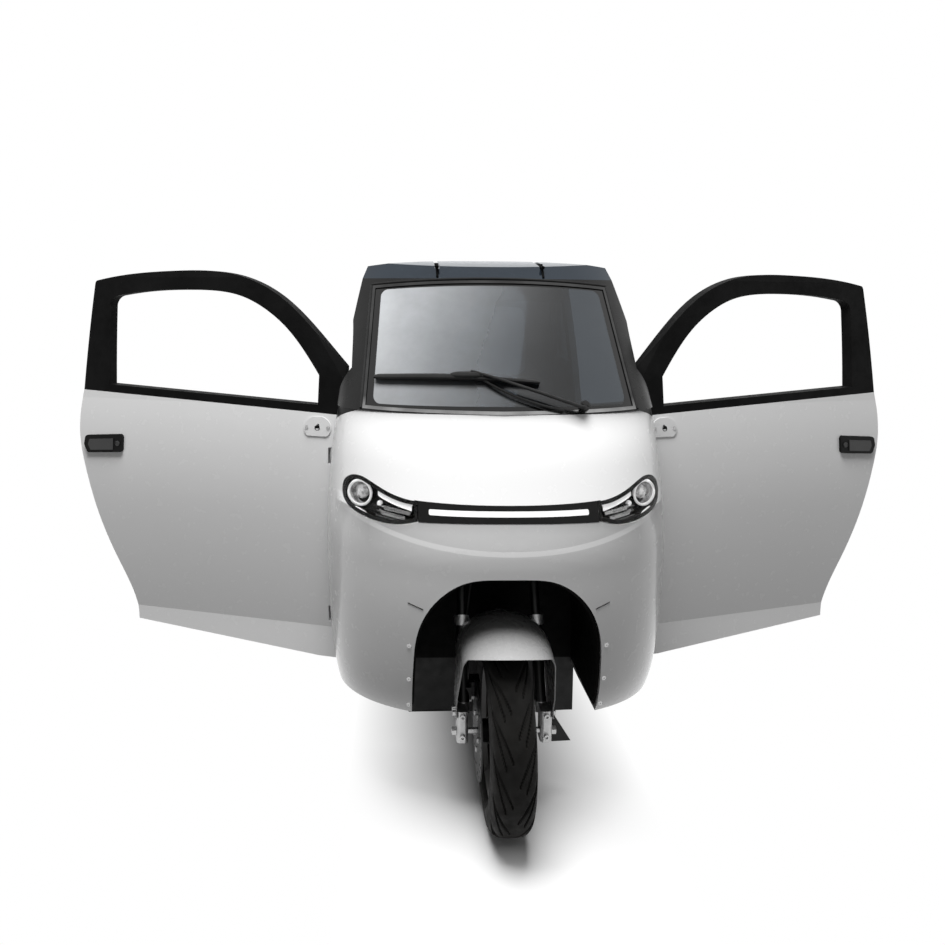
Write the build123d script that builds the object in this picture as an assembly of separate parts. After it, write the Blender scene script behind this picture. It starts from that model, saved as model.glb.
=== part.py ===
from build123d import *
import os
from math import cos, pi, radians, sin, sqrt

# An enclosed electric tricycle: one steered wheel in front, two driven wheels behind, and a cabin
# with two front-hinged doors that stand open, a driver's seat and a bench behind it.
# Millimetres. +X is the vehicle's left, -Y is forward, +Z is up. The origin is on the ground at the
# middle of the length and width.

# ---- driving dimensions -------------------------------------------------------------------------
overall_length = 2190.0
wheelbase = 1480.0
front_tyre_radius = 251.0
front_tyre_width = 120.0
front_rim_radius = 172.0
bead_share = 0.66               # tyre width at the rim over its full width
rear_tyre_radius = 247.0
rear_tyre_width = 135.0
rear_rim_radius = 160.0
rear_track = 840.0
rear_arch_radius = 300.0
front_axle_radius = 8.0

body_half_width = 512.0         # widest point of the cabin side
widest_height = 740.0
belt_half_width = 484.0
belt_section_height = 1090.0
roof_half_width = 420.0
body_bottom = 290.0
flare_top = 385.0
belt_height = 1069.0            # at the door hinge
belt_rise = 0.052               # rise of the belt per millimetre rearwards
roof_side_height = 1500.0
roof_edge_height = 1542.0
roof_height = 1569.0
wall = 28.0                     # body walls
door_wall = 42.0
shut_gap = 7.0                  # shut line round each door
seat_gap = 0.3                  # between pieces fastened to one another

hinge_setback = 354.0           # hinge axis behind the front axle
hinge_inset = 8.0               # hinge axis inside the widest point
door_lead = 20.0                # door edge ahead of the hinge axis
door_length = 916.0             # hinge axis to the rear edge at the handle
door_open_angle = 75.0          # how far the doors stand open
hinge_pin_radius = 4.0
hinge_pin_clearance = 0.4
hinge_heights = (430.0, 940.0)

screen_base_setback = 98.0      # windscreen foot on the centre line, behind the front axle
screen_base_height = 1111.0
screen_run = 341.0              # how far the screen leans back over screen_rise
screen_rise = 365.0
screen_base_half = 400.0
screen_top_half = 384.0
screen_top_height = 1476.0
glass_thickness = 5.0

nose_power = 2.3                # fullness of the nose seen from above
arch_half_width = 250.0
arch_top = 717.0
liner_wall = 6.0
lamp_inner = 240.0              # where the light bar meets the headlamps
strip_half = 212.0              # half length of the light strip
liner_back = 296.0              # rear wall of the front wheel well, behind the axle

rake = 25.0                     # steering axis from the vertical
fork_offset = 32.0              # steering axis behind the axle
fork_half_spacing = 108.0
fork_tube_radius = 17.0
fork_lead = 14.0                # fork legs ahead of the steering axis
yoke_distance = 395.0           # underside of the yoke along the steering axis
lug_outside = 130.7             # outer face of the fork's end lugs
guard_radius = 317.0            # crown of the front mudguard about the wheel axis
guard_thickness = 3.0
brake_disc_radius = 125.0
brake_disc_x = -74.0            # outer face of the disc
brake_disc_thickness = 4.0
stem_radius = 16.0
stem_clearance = 5.0
head_tube_radius = 30.0

tail_setback = overall_length - front_tyre_radius
rail_half_spacing = 290.0
rail_width = 40.0
floor_bottom = 302.3
floor_half = 455.0
floor_thickness = 14.0

# ---- worked out from them -------------------------------------------------------------------------
front_axle_y = front_tyre_radius - overall_length / 2
rear_axle_y = front_axle_y + wheelbase
hinge_y = front_axle_y + hinge_setback
hinge_x = body_half_width - hinge_inset
door_rear = hinge_y + door_length
floor_top = floor_bottom + floor_thickness
nose_back = hinge_y - door_lead - shut_gap / 2
steer_origin = Vector(0, front_axle_y + fork_offset, front_tyre_radius)
steer_dir = Vector(0, sin(radians(rake)), cos(radians(rake)))
rear_wheel_x = rear_track / 2


def at(setback):
    """The Y coordinate that lies this far behind the front axle."""
    return front_axle_y + setback


def belt_at(y):
    """Height of the belt line at a Y coordinate."""
    return belt_height + (y - hinge_y) * belt_rise


def on_stem(distance, x=0.0, aside=0.0):
    """A point on the steering axis, moved to one side and squarely forward of it."""
    forward = Vector(0, -cos(radians(rake)), sin(radians(rake)))
    return steer_origin + steer_dir * distance + forward * aside + Vector(x, 0, 0)


def side_prism(outline, x_from, x_to):
    """Extrudes a face drawn in Y and Z from one X to another."""
    return Pos(x_from, 0, 0) * extrude(Plane.YZ * outline, amount=x_to - x_from, dir=(1, 0, 0))


def front_prism(outline, y_from, y_to):
    """Extrudes a face drawn in X and Z from one Y to another."""
    return Pos(0, y_from, 0) * extrude(Plane.XZ * outline, amount=y_to - y_from, dir=(0, 1, 0))


def block(x0, x1, y0, y1, z0, z1):
    """A box between two corners."""
    return Pos((x0 + x1) / 2, (y0 + y1) / 2, (z0 + z1) / 2) * Box(x1 - x0, y1 - y0, z1 - z0)


def closed(*edges):
    """A face inside the given edges."""
    return make_face(Curve() + list(edges))


def rod(a, b, radius):
    """A round bar from point a to point b."""
    a, b = Vector(*a), Vector(*b)
    return extrude(Plane(origin=a, z_dir=b - a) * Circle(radius), (b - a).length)


def x_disc(y, z, radius, x0, x1):
    """A disc or shaft lying along X."""
    return extrude(Plane(origin=(x0, y, z), z_dir=(1, 0, 0)) * Circle(radius), x1 - x0)


def mirrored(shape):
    return mirror(shape, Plane.YZ)


def both(shape):
    return shape + mirrored(shape)


# ---- outer form of the cabin --------------------------------------------------------------------
def cabin_section(inset):
    """The cabin seen from the front: flared foot, bulging side, tumblehome and crowned roof."""
    foot = body_half_width - 6 - inset
    heights = (flare_top, 480, 600, 720, 800, 870, 960, 1040, belt_section_height)
    side = [(side_half(z) - inset, z) for z in heights]
    shoulder = side_half(belt_section_height) - inset
    crown = roof_half_width - inset
    low, edge, top = body_bottom + inset, roof_edge_height - inset, roof_height - inset
    half = closed(
        Line((0, low), (foot, low)),
        Line((foot, low), side[0]),
        Spline(*side),
        ThreePointArc((shoulder, belt_section_height), (crown + 37, 1290), (crown, roof_side_height)),
        Line((crown, roof_side_height), (crown - 16, edge)),
        ThreePointArc((crown - 16, edge), (210, top - 7), (0, top)),
        Line((0, top), (0, low)),
    )
    return half + mirror(half, Plane.YZ)


def cabin_profile(inset):
    """The cabin seen from the side: roof line, sloping rear window and upright tail."""
    down, tail = -inset, tail_setback - 14 - inset
    roof = [(480, 1535), (640, 1562), (900, 1572), (tail_setback - 689, 1550), (tail_setback - 339, 1450)]
    points = [(at(s), z + down) for s, z in roof]
    return closed(
        Spline(*points),
        Line(points[-1], (at(tail - 70), 1000 + down)),
        Line((at(tail - 70), 1000 + down), (at(tail - 8), 930 + down)),
        Line((at(tail - 8), 930 + down), (at(tail), 800)),
        Line((at(tail), 800), (at(tail), 400)),
        Line((at(tail), 400), (at(tail - 20), 240)),
        Line((at(tail - 20), 240), (at(-300), 240)),
        Line((at(-300), 240), (at(-300), points[0][1])),
        Line((at(-300), points[0][1]), points[0]),
    )


def tail_block(inset):
    """Rounds the rear corners of the cabin seen from above."""
    length = 3000.0
    plan = RectangleRounded(2 * (body_half_width - inset) + 2, length, 150 - inset / 2)
    return Pos(0, at(tail_setback - 10 - inset) - length / 2, 100) * extrude(plan, 1700)


def nose_curve(half_width, front, back):
    """The front of the body seen from above, a wide and blunt curve."""
    steps = 12
    points = []
    for i in range(-steps, steps + 1):
        angle = pi / 2 * i / steps
        side = abs(sin(angle)) ** (2 / nose_power)
        reach = abs(cos(angle)) ** (2 / nose_power)
        points.append((half_width * side * (1 if i > 0 else -1), back - (back - front) * reach))
    return points


def nose_edge(half_width, front):
    """The nose curve as one edge, its parameter spaced alike at every height."""
    points = [Vector(x, y) for x, y in nose_curve(half_width, front, nose_back)]
    spacing = [i / (len(points) - 1) for i in range(len(points))]
    return Edge.make_spline(points, parameters=spacing)


def nose_plan(half_width, front, back=None):
    """A face behind the nose curve, ending square at the doors or running straight on to a Y."""
    edge = nose_edge(half_width, front)
    if back is None:
        return closed(edge, Line(edge @ 1, edge @ 0))
    return closed(edge, Polyline(edge @ 1, (half_width, back), (-half_width, back), edge @ 0))


def screen_move(inset):
    """The move along Y that shifts the sloping screen squarely inwards by a thickness."""
    return inset * sqrt(1 + (screen_run / screen_rise) ** 2)


def screen_extrude(plan):
    """Extrudes a plan of the screen along its slope from under its foot to over its top."""
    below = 60.0
    start = Pos(0, -below * screen_run / screen_rise, screen_base_height - below)
    return extrude(start * plan, amount=760, dir=Vector(0, screen_run, screen_rise).normalized())


def screen_solid(inset):
    """Everything behind the windscreen's outer face."""
    plan = nose_plan(belt_half_width + 1, at(screen_base_setback), at(2600))
    return screen_extrude(Pos(0, screen_move(inset), 0) * plan)


def screen_skin(near, far):
    """A layer of the screen between two depths under its outer face."""
    edge = nose_edge(belt_half_width + 1, at(screen_base_setback))
    outside, inside = Pos(0, screen_move(near), 0) * edge, Pos(0, screen_move(far), 0) * edge
    ends = [Line(outside @ 0, inside @ 0), Line(outside @ 1, inside @ 1)]
    return screen_extrude(closed(outside, inside, *ends))


def side_half(z):
    """Half width of the cabin side below the belt."""
    fall = 28 if z > widest_height else 15
    return body_half_width - fall * ((z - widest_height) / 350) ** 2


# height, front of the body behind the front axle, and how much narrower than the cabin side it is
nose_levels = [
    (290.0, -20.0, 8.0),
    (370.0, -69.0, 2.0),
    (450.0, -91.0, 0.0),
    (535.0, -104.0, 0.0),
    (625.0, -111.0, 0.0),
    (715.0, -112.0, 0.0),
    (800.0, -100.0, 0.0),
    (880.0, -56.0, 0.0),
    (960.0, -6.0, 0.0),
    (1035.0, 46.0, 0.0),
    (1111.0, 98.0, 0.0),
]


def nose_solid(inset):
    """The body ahead of the doors as one solid, drawn in by a wall."""
    faces = []
    for i, (z, setback, narrower) in enumerate(nose_levels):
        height = z + inset if i == 0 else z
        half = side_half(z) - narrower - inset
        faces.append(Pos(0, 0, height) * nose_plan(half, at(setback) + inset))
    return loft(faces)


def cabin_solid(inset):
    """The whole body as one solid, drawn in by a wall."""
    section = front_prism(cabin_section(inset), at(40), at(tail_setback + 61))
    bulk = section & side_prism(cabin_profile(inset), -700, 700) & tail_block(inset)
    above = block(-700, 700, at(0), at(tail_setback + 61), screen_base_height, 1700)
    upper = bulk & screen_solid(inset) & above
    lower = bulk & block(-700, 700, nose_back, at(tail_setback + 61), 0, screen_base_height)
    return nose_solid(inset) + upper + lower


# ---- door outline ----------------------------------------------------------------------------------
def moved_out(points, gap):
    """Moves each point of an open line squarely to its right by a gap."""
    moved = []
    for i, (y, z) in enumerate(points):
        y0, z0 = points[max(i - 1, 0)]
        y1, z1 = points[min(i + 1, len(points) - 1)]
        length = sqrt((y1 - y0) ** 2 + (z1 - z0) ** 2)
        moved.append((y + (z1 - z0) / length * gap, z - (y1 - y0) / length * gap))
    return moved


def door_outline(grow=0.0):
    """A closed door seen from the side, grown all round by its gap for the opening in the body."""
    front = hinge_y - door_lead - grow
    frame_front = hinge_y - 30 - grow
    top = moved_out([
        (door_rear - 27, 1489), (door_rear - 146, 1510), (door_rear - 316, 1522),
        (door_rear - 478, 1520), (hinge_y + 355, 1506), (hinge_y + 221, 1449), (hinge_y + 86, 1338),
        (hinge_y - 30, 1218),
    ], grow)
    rear = moved_out([
        (hinge_y + 699, 341), (hinge_y + 725, 449), (hinge_y + 775, 552), (hinge_y + 842, 706),
        (door_rear - 26, 860), (door_rear - 3, 963), (door_rear, 1020), (door_rear - 9, belt_at(door_rear)),
    ], grow)
    corner = (door_rear - 20 + grow, 1478)
    low = body_bottom - 5 - grow
    return closed(
        Line((front, low), rear[0]),
        Spline(*rear),
        Line(rear[-1], corner),
        Polyline(corner, (corner[0] - 2, corner[1] + 8 + grow * 0.8), top[0]),
        Spline(*top),
        Line(top[-1], (frame_front, belt_height - grow)),
        Line((frame_front, belt_height - grow), (front, belt_height - 6 - grow)),
        Line((front, belt_height - 6 - grow), (front, low)),
    )


def window_outline():
    """The opening in the door's window frame."""
    front, rear = hinge_y + 55, door_rear - 87
    low = 25.0
    top = [
        (front, 1190), (front + 52, 1262), (front + 120, 1338), (front + 198, 1397), (front + 285, 1438),
        (front + 455, 1458), (front + 660, 1450), (rear - 30, 1438),
    ]
    return closed(
        Spline(*top),
        ThreePointArc(top[-1], (rear - 7, 1425), (rear, 1399)),
        Line((rear, 1399), (rear - 18, belt_at(rear) + low)),
        Line((rear - 18, belt_at(rear) + low), (front, belt_at(front) + low)),
        Line((front, belt_at(front) + low), top[0]),
    )


# ---- body panels ------------------------------------------------------------------------------------
def cowl_line(lower):
    """The region under (or over) the line where the white nose meets the black screen surround."""
    corner, foot, end = (at(192), screen_base_height), (at(300), 1064), (at(700), 1056)
    far = 200 if lower else 1700
    return closed(
        Polyline((at(-400), screen_base_height), corner, foot, end, (end[0], far), (at(-400), far), close=True)
    )


def roof_line(upper):
    """The region over (or under) the roof's lower edge."""
    far = 1800 if upper else 1000
    end = at(tail_setback - 339)
    points = [(at(-100), roof_side_height), (at(tail_setback - 699), roof_side_height), (end, 1400)]
    return closed(Polyline(*points, (end, far), (at(-100), far), close=True))


def screen_outline(inset):
    """The windscreen seen from the front."""
    base, top = screen_base_half - inset, screen_top_half - inset
    low, high = screen_base_height + 6 + inset, screen_top_height - inset
    right = closed(
        Line((0, low - 6), (base, low)),
        Line((base, low), (top, high)),
        ThreePointArc((top, high), (top / 2, high + 14), (0, high + 18)),
        Line((0, high + 18), (0, low - 6)),
    )
    return right + mirror(right, Plane.YZ)


def arch_outline(inset):
    """The front wheel opening seen from the front."""
    wide, top = arch_half_width - inset, arch_top - inset
    right = [
        (0, top), (wide - 118, top - 17), (wide - 50, top - 74), (wide - 12, top - 150),
        (wide, top - 235), (wide + 3, top - 330), (wide + 3, 220),
    ]
    half = closed(Spline(*right, tangents=[(1, 0), (0, -1)]), Line(right[-1], (0, 220)),
                  Line((0, 220), (0, top)))
    return half + mirror(half, Plane.YZ)


def lamp_outline(grow):
    """The left headlamp seen from the front."""
    points = moved_out([
        (lamp_inner, 849), (266, 842), (300, 836), (345, 836), (394, 843), (428, 854), (447, 871), (453, 895),
        (445, 923), (424, 938), (398, 940), (370, 931), (330, 914), (285, 901), (lamp_inner, 896),
    ], grow)
    return closed(Spline(*points), Line(points[-1], points[0]))


def bar_outline(grow):
    """The band between the headlamps seen from the front; it runs on behind the lamps."""
    half = lamp_inner + 10
    low = ThreePointArc((-half, 848 - grow), (0, 852 - grow), (half, 848 - grow))
    high = ThreePointArc((half, 898 + grow), (0, 893 + grow), (-half, 898 + grow))
    return closed(low, Line(low @ 1, high @ 0), high, Line(high @ 1, low @ 0))


def door_openings():
    return side_prism(door_outline(shut_gap), -700, 700)


def nose_panel(shell):
    """White front panel with the wheel arch and the lamp pockets cut in it."""
    panel = shell & side_prism(cowl_line(True), -700, 700)
    panel &= block(-700, 700, at(-400), hinge_y + 60, 200, 1200)
    panel -= door_openings()
    panel -= front_prism(arch_outline(0), at(-400), at(liner_back + 60))
    lamp = lamp_outline(seat_gap)
    panel -= front_prism(bar_outline(seat_gap) + lamp + mirror(lamp, Plane.YZ), at(-300), at(230))
    rim = [(at(-400), 240), (at(-400), 318), (at(0), 302), (hinge_y, 283), (hinge_y, 240)]
    return panel - side_prism(closed(Polyline(*rim, close=True)), -700, 700)


def screen_surround(shell):
    """Black ring round the windscreen: the cowl strip, both pillars and the strip over the glass."""
    ring = shell & side_prism(cowl_line(False), -700, 700) & side_prism(roof_line(False), -700, 700)
    ring &= block(-700, 700, at(0), at(700), 1040, 1600)
    ring -= door_openings()
    ring -= front_prism(screen_outline(16), at(0), at(620))
    behind_glass = screen_solid(2 + glass_thickness + seat_gap)
    ring -= front_prism(screen_outline(-seat_gap), at(0), at(620)) - behind_glass
    return ring


def screen_sheet(outline, near, far):
    return front_prism(outline, at(0), at(640)) & screen_skin(near, far)


def windscreen():
    return screen_sheet(screen_outline(9), 2, 2 + glass_thickness)


def windscreen_trim():
    """Bright strip along the sides and the foot of the glass."""
    ring = screen_outline(0) - screen_outline(9 - seat_gap)
    return screen_sheet(ring, -1.5, 2 + glass_thickness)


def roof(shell):
    """Black roof with two shallow grooves along it."""
    panel = shell & side_prism(roof_line(True), -700, 700)
    panel &= block(-700, 700, at(0), at(tail_setback - 339), 1300, 1700)
    panel -= door_openings()
    end = at(tail_setback - 639)
    groove = side_prism(closed(Polyline((at(480), 1600), (end, 1600), (end, 1540), (end - 50, 1543),
                                        (at(900), 1566), (at(640), 1556), (at(480), 1529), close=True)), 165, 181)
    return panel - both(groove)


def rear_line(behind):
    """The region behind (or ahead of) the joint between the sides and the tail."""
    far = at(tail_setback + 261) if behind else at(300)
    high, low = at(tail_setback - 379), at(tail_setback - 149)
    points = [(high, 1800), (high, 1400), (low, 1000), (low, 100)]
    return closed(Polyline(*points, (far, 100), (far, 1800), close=True))


def quarter_window(grow):
    """The window behind the door seen from the side."""
    front = door_rear + 55
    rear = at(tail_setback - 339)
    corners = [(front, 1150), (rear, 1160), (rear - 80, 1345), (rear - 140, 1410), (front, 1432)]
    outline = closed(Polyline(*corners, close=True))
    outline = fillet(outline.vertices(), 24)
    return offset(outline, grow, kind=Kind.ARC) if grow else outline


def rear_window(grow):
    """The rear window seen from behind."""
    outline = closed(Polyline((-330, 1055), (330, 1055), (290, 1395), (-290, 1395), close=True))
    outline = fillet(outline.vertices(), 45)
    return offset(outline, grow, kind=Kind.ARC) if grow else outline


def quarter_panel(shell):
    """White left side behind the door, with the wheel arch and the window."""
    panel = shell & side_prism(rear_line(False), 0, 700)
    panel &= block(0, 700, at(900), at(tail_setback - 139), 200, 1700)
    panel -= side_prism(roof_line(True), 0, 700)
    panel -= door_openings()
    panel -= x_disc(rear_axle_y, rear_tyre_radius, rear_arch_radius + 2, 200, 700)
    panel -= side_prism(quarter_window(0), 200, 700)
    panel -= block(-1, floor_half + seat_gap, at(0), at(tail_setback + 61), 200, 500)
    return panel


def rear_panel(shell):
    """White tail with the rear window opening."""
    panel = (shell & side_prism(rear_line(True), -700, 700)) - side_prism(roof_line(True), -700, 700)
    panel -= front_prism(rear_window(0), at(tail_setback - 539), at(tail_setback + 61))
    panel -= both(front_prism(tail_lamp_outline(seat_gap), at(tail_setback - 239), at(tail_setback + 61)))
    panel -= block(-420, 420, at(tail_setback - 439), at(tail_setback - 59), 200, 372)
    return panel


# ---- inside of the front ---------------------------------------------------------------------------
def wheel_liner():
    """Black well round the front wheel with its rear wall and the hole for the steering stem."""
    tunnel = front_prism(arch_outline(seat_gap), at(-200), at(liner_back))
    tunnel -= front_prism(arch_outline(seat_gap + liner_wall), at(-210), at(liner_back - liner_wall))
    tunnel &= nose_solid(12)
    tunnel -= rod(on_stem(380), on_stem(620), stem_radius + stem_clearance + 4)
    return tunnel & block(-400, 400, at(-300), at(400), 316, 800)


def dashboard():
    """Shelf under the windscreen with a sloping face and an open back."""
    outline = closed(Polyline(
        (at(118), 1092), (at(190), 1098), (at(252), 1060), (at(262), 1010), (at(235), 880),
        (at(212), 880), (at(240), 1010), (at(232), 1050), (at(186), 1082), (at(118), 1078), close=True,
    ))
    return side_prism(outline, -470, 470) & cabin_solid(wall + seat_gap)


def chassis():
    """Two rails that kick up over the rear axle, cross members, down tube and head tube."""
    kick, end = at(wheelbase - 230), at(tail_setback - 79)
    low = [(at(340), 262), (kick, 262), (kick + 90, 334), (end, 334)]
    high = [(end, 374), (kick + 75, 374), (kick - 15, 302), (at(340), 302)]
    rail = side_prism(closed(Polyline(*low, *high, close=True)), rail_half_spacing - rail_width / 2,
                      rail_half_spacing + rail_width / 2)
    frame = both(rail)
    half = rail_half_spacing
    for setback, z in ((360, 282), (900, 282), (wheelbase - 280, 282), (wheelbase - 90, 354),
                       (tail_setback - 99, 354)):
        frame += block(-half, half, at(setback) - 18, at(setback) + 18, z - 18, z + 18)
    frame += rod((0, at(352), 282), (0, at(330), 800), 24)
    frame += rod(on_stem(535), on_stem(660), head_tube_radius)
    frame += rod((-495, at(308), 782), (495, at(308), 782), 14) & cabin_solid(wall + seat_gap)
    return frame - rod(on_stem(480), on_stem(680), stem_radius + 0.5)


def floor_pan():
    """Flat cabin floor with a step up over the rear axle."""
    step = at(wheelbase - 312)
    flat = block(-floor_half, floor_half, at(384), step, floor_bottom, floor_top)
    riser = block(-336, 336, step - floor_thickness, step, floor_bottom, 394)
    deck = block(-336, 336, step - floor_thickness, at(tail_setback - 71), 380, 394)
    return flat + riser + deck


def wheelhouse():
    """Left rear wheel well: a half drum with its inner wall."""
    outer = x_disc(rear_axle_y, rear_tyre_radius, rear_arch_radius, 342, body_half_width - wall - 1)
    inner = x_disc(rear_axle_y, rear_tyre_radius, rear_arch_radius - 5, 347, 600)
    well = (outer - inner) & block(0, 700, rear_axle_y - rear_arch_radius, rear_axle_y + rear_arch_radius,
                                   305, 800)
    return well - x_disc(rear_axle_y, rear_tyre_radius, 100, 300, 360)


# ---- doors, drawn shut and then swung open ----------------------------------------------------------
def swing(shape):
    """Opens the left door about its hinge axis."""
    return Pos(hinge_x, hinge_y, 0) * Rot(0, 0, -door_open_angle) * Pos(-hinge_x, -hinge_y, 0) * shape


def belt_region(upper, gap=0.0):
    """Above (or below) the joint between the door skin and its black window frame."""
    y0, y1 = at(0), at(1600)
    z0, z1 = belt_at(y0) + gap, belt_at(y1) + gap
    far = 1800 if upper else 100
    return side_prism(closed(Polyline((y0, z0), (y1, z1), (y1, far), (y0, far), close=True)), 0, 700)


def hinge_pocket(z):
    """Room in the door's front edge for one hinge."""
    return block(hinge_x - 60, hinge_x + 5.2, hinge_y - 40, hinge_y + 14, z - 26, z + 26)


def door_blank(outer):
    """The whole left door as one thick skin, its inner face the outer one moved inwards."""
    inner = Pos(-door_wall, 0, 0) * front_prism(cabin_section(0), at(200), at(1400))
    return (outer & side_prism(door_outline(), 0, 700)) - inner


def door_skin(blank):
    """White lower part of the left door."""
    skin = blank & belt_region(False)
    for z in hinge_heights:
        skin -= hinge_pocket(z)
    return max((skin - mirror_hole()).solids(), key=lambda piece: piece.volume)


def door_frame(blank):
    """Black window frame of the left door, open in the middle."""
    return (blank & belt_region(True, seat_gap)) - side_prism(window_outline(), 0, 700)


def door_handle(outer):
    """Flush grab handle with a recess under its flap."""
    outline = closed(Polyline(
        (hinge_y + 742, 914), (hinge_y + 876, 906), (hinge_y + 890, 934), (hinge_y + 886, 964),
        (hinge_y + 742, 974), close=True,
    ))
    outline = fillet(outline.vertices(), 12)
    handle = side_prism(outline, 400, 700) & (grown_side(9) - outer)
    return Pos(seat_gap, 0, 0) * handle


def grown_side(out):
    """The cabin side moved outwards."""
    side = front_prism(cabin_section(0), hinge_y - 40, at(1400)) & block(0, 700, at(0), at(1500), 320, 1200)
    return Pos(out, 0, 0) * side


def mirror_hole():
    return side_prism(Pos(hinge_y + 50, 1033) * Circle(5), 400, 700)


def mirror_plate(outer):
    """Half-moon plate with one through hole between two screws, left bare for a mirror."""
    outline = Pos(hinge_y + 52, 1026) * Ellipse(46, 36)
    plate = side_prism(outline, 400, 700) & block(0, 700, at(0), at(1400), 1000, 1060)
    plate &= grown_side(3) - outer
    return Pos(seat_gap, 0, 0) * (plate - mirror_hole())


def hinge_pins():
    """Pins of the left door, standing in the pockets."""
    pins = []
    for z in hinge_heights:
        pins.append(rod((hinge_x, hinge_y, z - 25.7), (hinge_x, hinge_y, z + 25.7), hinge_pin_radius))
    return Compound(pins)


def hinge_leaves():
    """Goose-necked leaves fastened inside the nose, each with the eye that the pin turns in."""
    within = nose_solid(wall + seat_gap)
    leaves = []
    for z in hinge_heights:
        eye = rod((hinge_x - 2.5, hinge_y, z - 15), (hinge_x - 2.5, hinge_y, z + 15), 7.4)
        arm = block(hinge_x - 46, hinge_x - 4, hinge_y - 3, hinge_y + 4, z - 15, z + 15)
        neck = block(hinge_x - 46, hinge_x - 40, hinge_y - 70, hinge_y + 4, z - 15, z + 15)
        pad = block(hinge_x - 46, hinge_x, hinge_y - 70, hinge_y - 46, z - 15, z + 15)
        leaf = eye + arm + neck + (pad & within)
        leaf -= rod((hinge_x, hinge_y, z - 30), (hinge_x, hinge_y, z + 30),
                    hinge_pin_radius + hinge_pin_clearance)
        leaves.append(leaf)
    return leaves


# ---- wheels ------------------------------------------------------------------------------------------
def spun(profile, x, y, z):
    """Turns a face drawn as (distance along X, radius) about a wheel axis."""
    flat = Plane(origin=(x, y, z), x_dir=(1, 0, 0), z_dir=(0, -1, 0)) * profile
    return revolve(flat, Axis((x, y, z), (1, 0, 0)), 360)


def tyre_section(width, radius, rim, roundness):
    """Tyre section on its bead seat; roundness is how far the shoulder drops below the crown."""
    half = width / 2
    bead = half * bead_share
    shoulder = (half * 0.86, radius - roundness)
    face = closed(
        Line((0, rim), (bead, rim)),
        Line((bead, rim), (bead, rim + 9)),
        ThreePointArc((bead, rim + 9), (half, (rim + radius - roundness) / 2 + 4), shoulder),
        ThreePointArc(shoulder, (half * 0.5, radius - roundness * 0.28), (0, radius)),
        Line((0, radius), (0, rim)),
    )
    return face + mirror(face, Plane.YZ)


def rim_section(width, rim, depth):
    """Rim band with a flange beside each bead of a tyre of this width."""
    bead = width / 2 * bead_share + seat_gap
    half, seat = bead + 4.5, rim - seat_gap
    points = [
        (-half, rim + 7), (-bead, rim + 7), (-bead, seat), (bead, seat), (bead, rim + 7),
        (half, rim + 7), (half, rim - 6), (bead - 8, rim - depth), (8 - bead, rim - depth), (-half, rim - 6),
    ]
    return closed(Polyline(*points, close=True))


def front_tyre():
    section = tyre_section(front_tyre_width, front_tyre_radius, front_rim_radius, 30)
    return spun(section, 0, front_axle_y, front_tyre_radius)


def front_rim():
    """Cast rim with five spokes and a hub."""
    y, z = front_axle_y, front_tyre_radius
    rim = spun(rim_section(front_tyre_width, front_rim_radius, 16), 0, y, z)
    hub = x_disc(y, z, 34, -44, 44)
    spokes = []
    for i in range(5):
        turn = Pos(0, y, z) * Rot(72 * i, 0, 0) * Pos(0, -y, -z)
        spokes.append(turn * block(-14, 14, y - 15, y + 15, z + 20, z + front_rim_radius - 14))
    wheel = rim + hub
    for spoke in spokes:
        wheel += spoke
    return wheel - x_disc(y, z, front_axle_radius + 0.4, -60, 60)


def brake_disc():
    """Disc on the wheel's right with its carrier reaching in to the hub."""
    y, z = front_axle_y, front_tyre_radius
    outer, inner = brake_disc_x, brake_disc_x + brake_disc_thickness
    disc = x_disc(y, z, brake_disc_radius, outer, inner) - x_disc(y, z, 60, outer - 1, inner + 1)
    carrier = x_disc(y, z, 64, outer, inner + 4) + x_disc(y, z, 30, inner, -44 - seat_gap)
    return (disc + carrier) - x_disc(y, z, front_axle_radius + 2, -90, -30)


def rear_tyre():
    section = tyre_section(rear_tyre_width, rear_tyre_radius, rear_rim_radius, 12)
    return spun(section, rear_wheel_x, rear_axle_y, rear_tyre_radius)


def rear_rim():
    """Pressed steel wheel: band, dished disc with slots and a centre hole."""
    x, y, z = rear_wheel_x, rear_axle_y, rear_tyre_radius
    band = spun(rim_section(rear_tyre_width, rear_rim_radius, 14), x, y, z)
    disc = spun(closed(Polyline((10, 40), (18, 40), (34, 110), (22, rear_rim_radius - 12), (12, rear_rim_radius - 12),
                                (24, 108), close=True)), x, y, z)
    wheel = band + disc
    for i in range(8):
        turn = Pos(0, y, z) * Rot(45 * i, 0, 0) * Pos(0, -y, -z)
        wheel -= turn * x_disc(y + 124, z, 9, x, x + 60)
    return wheel


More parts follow.
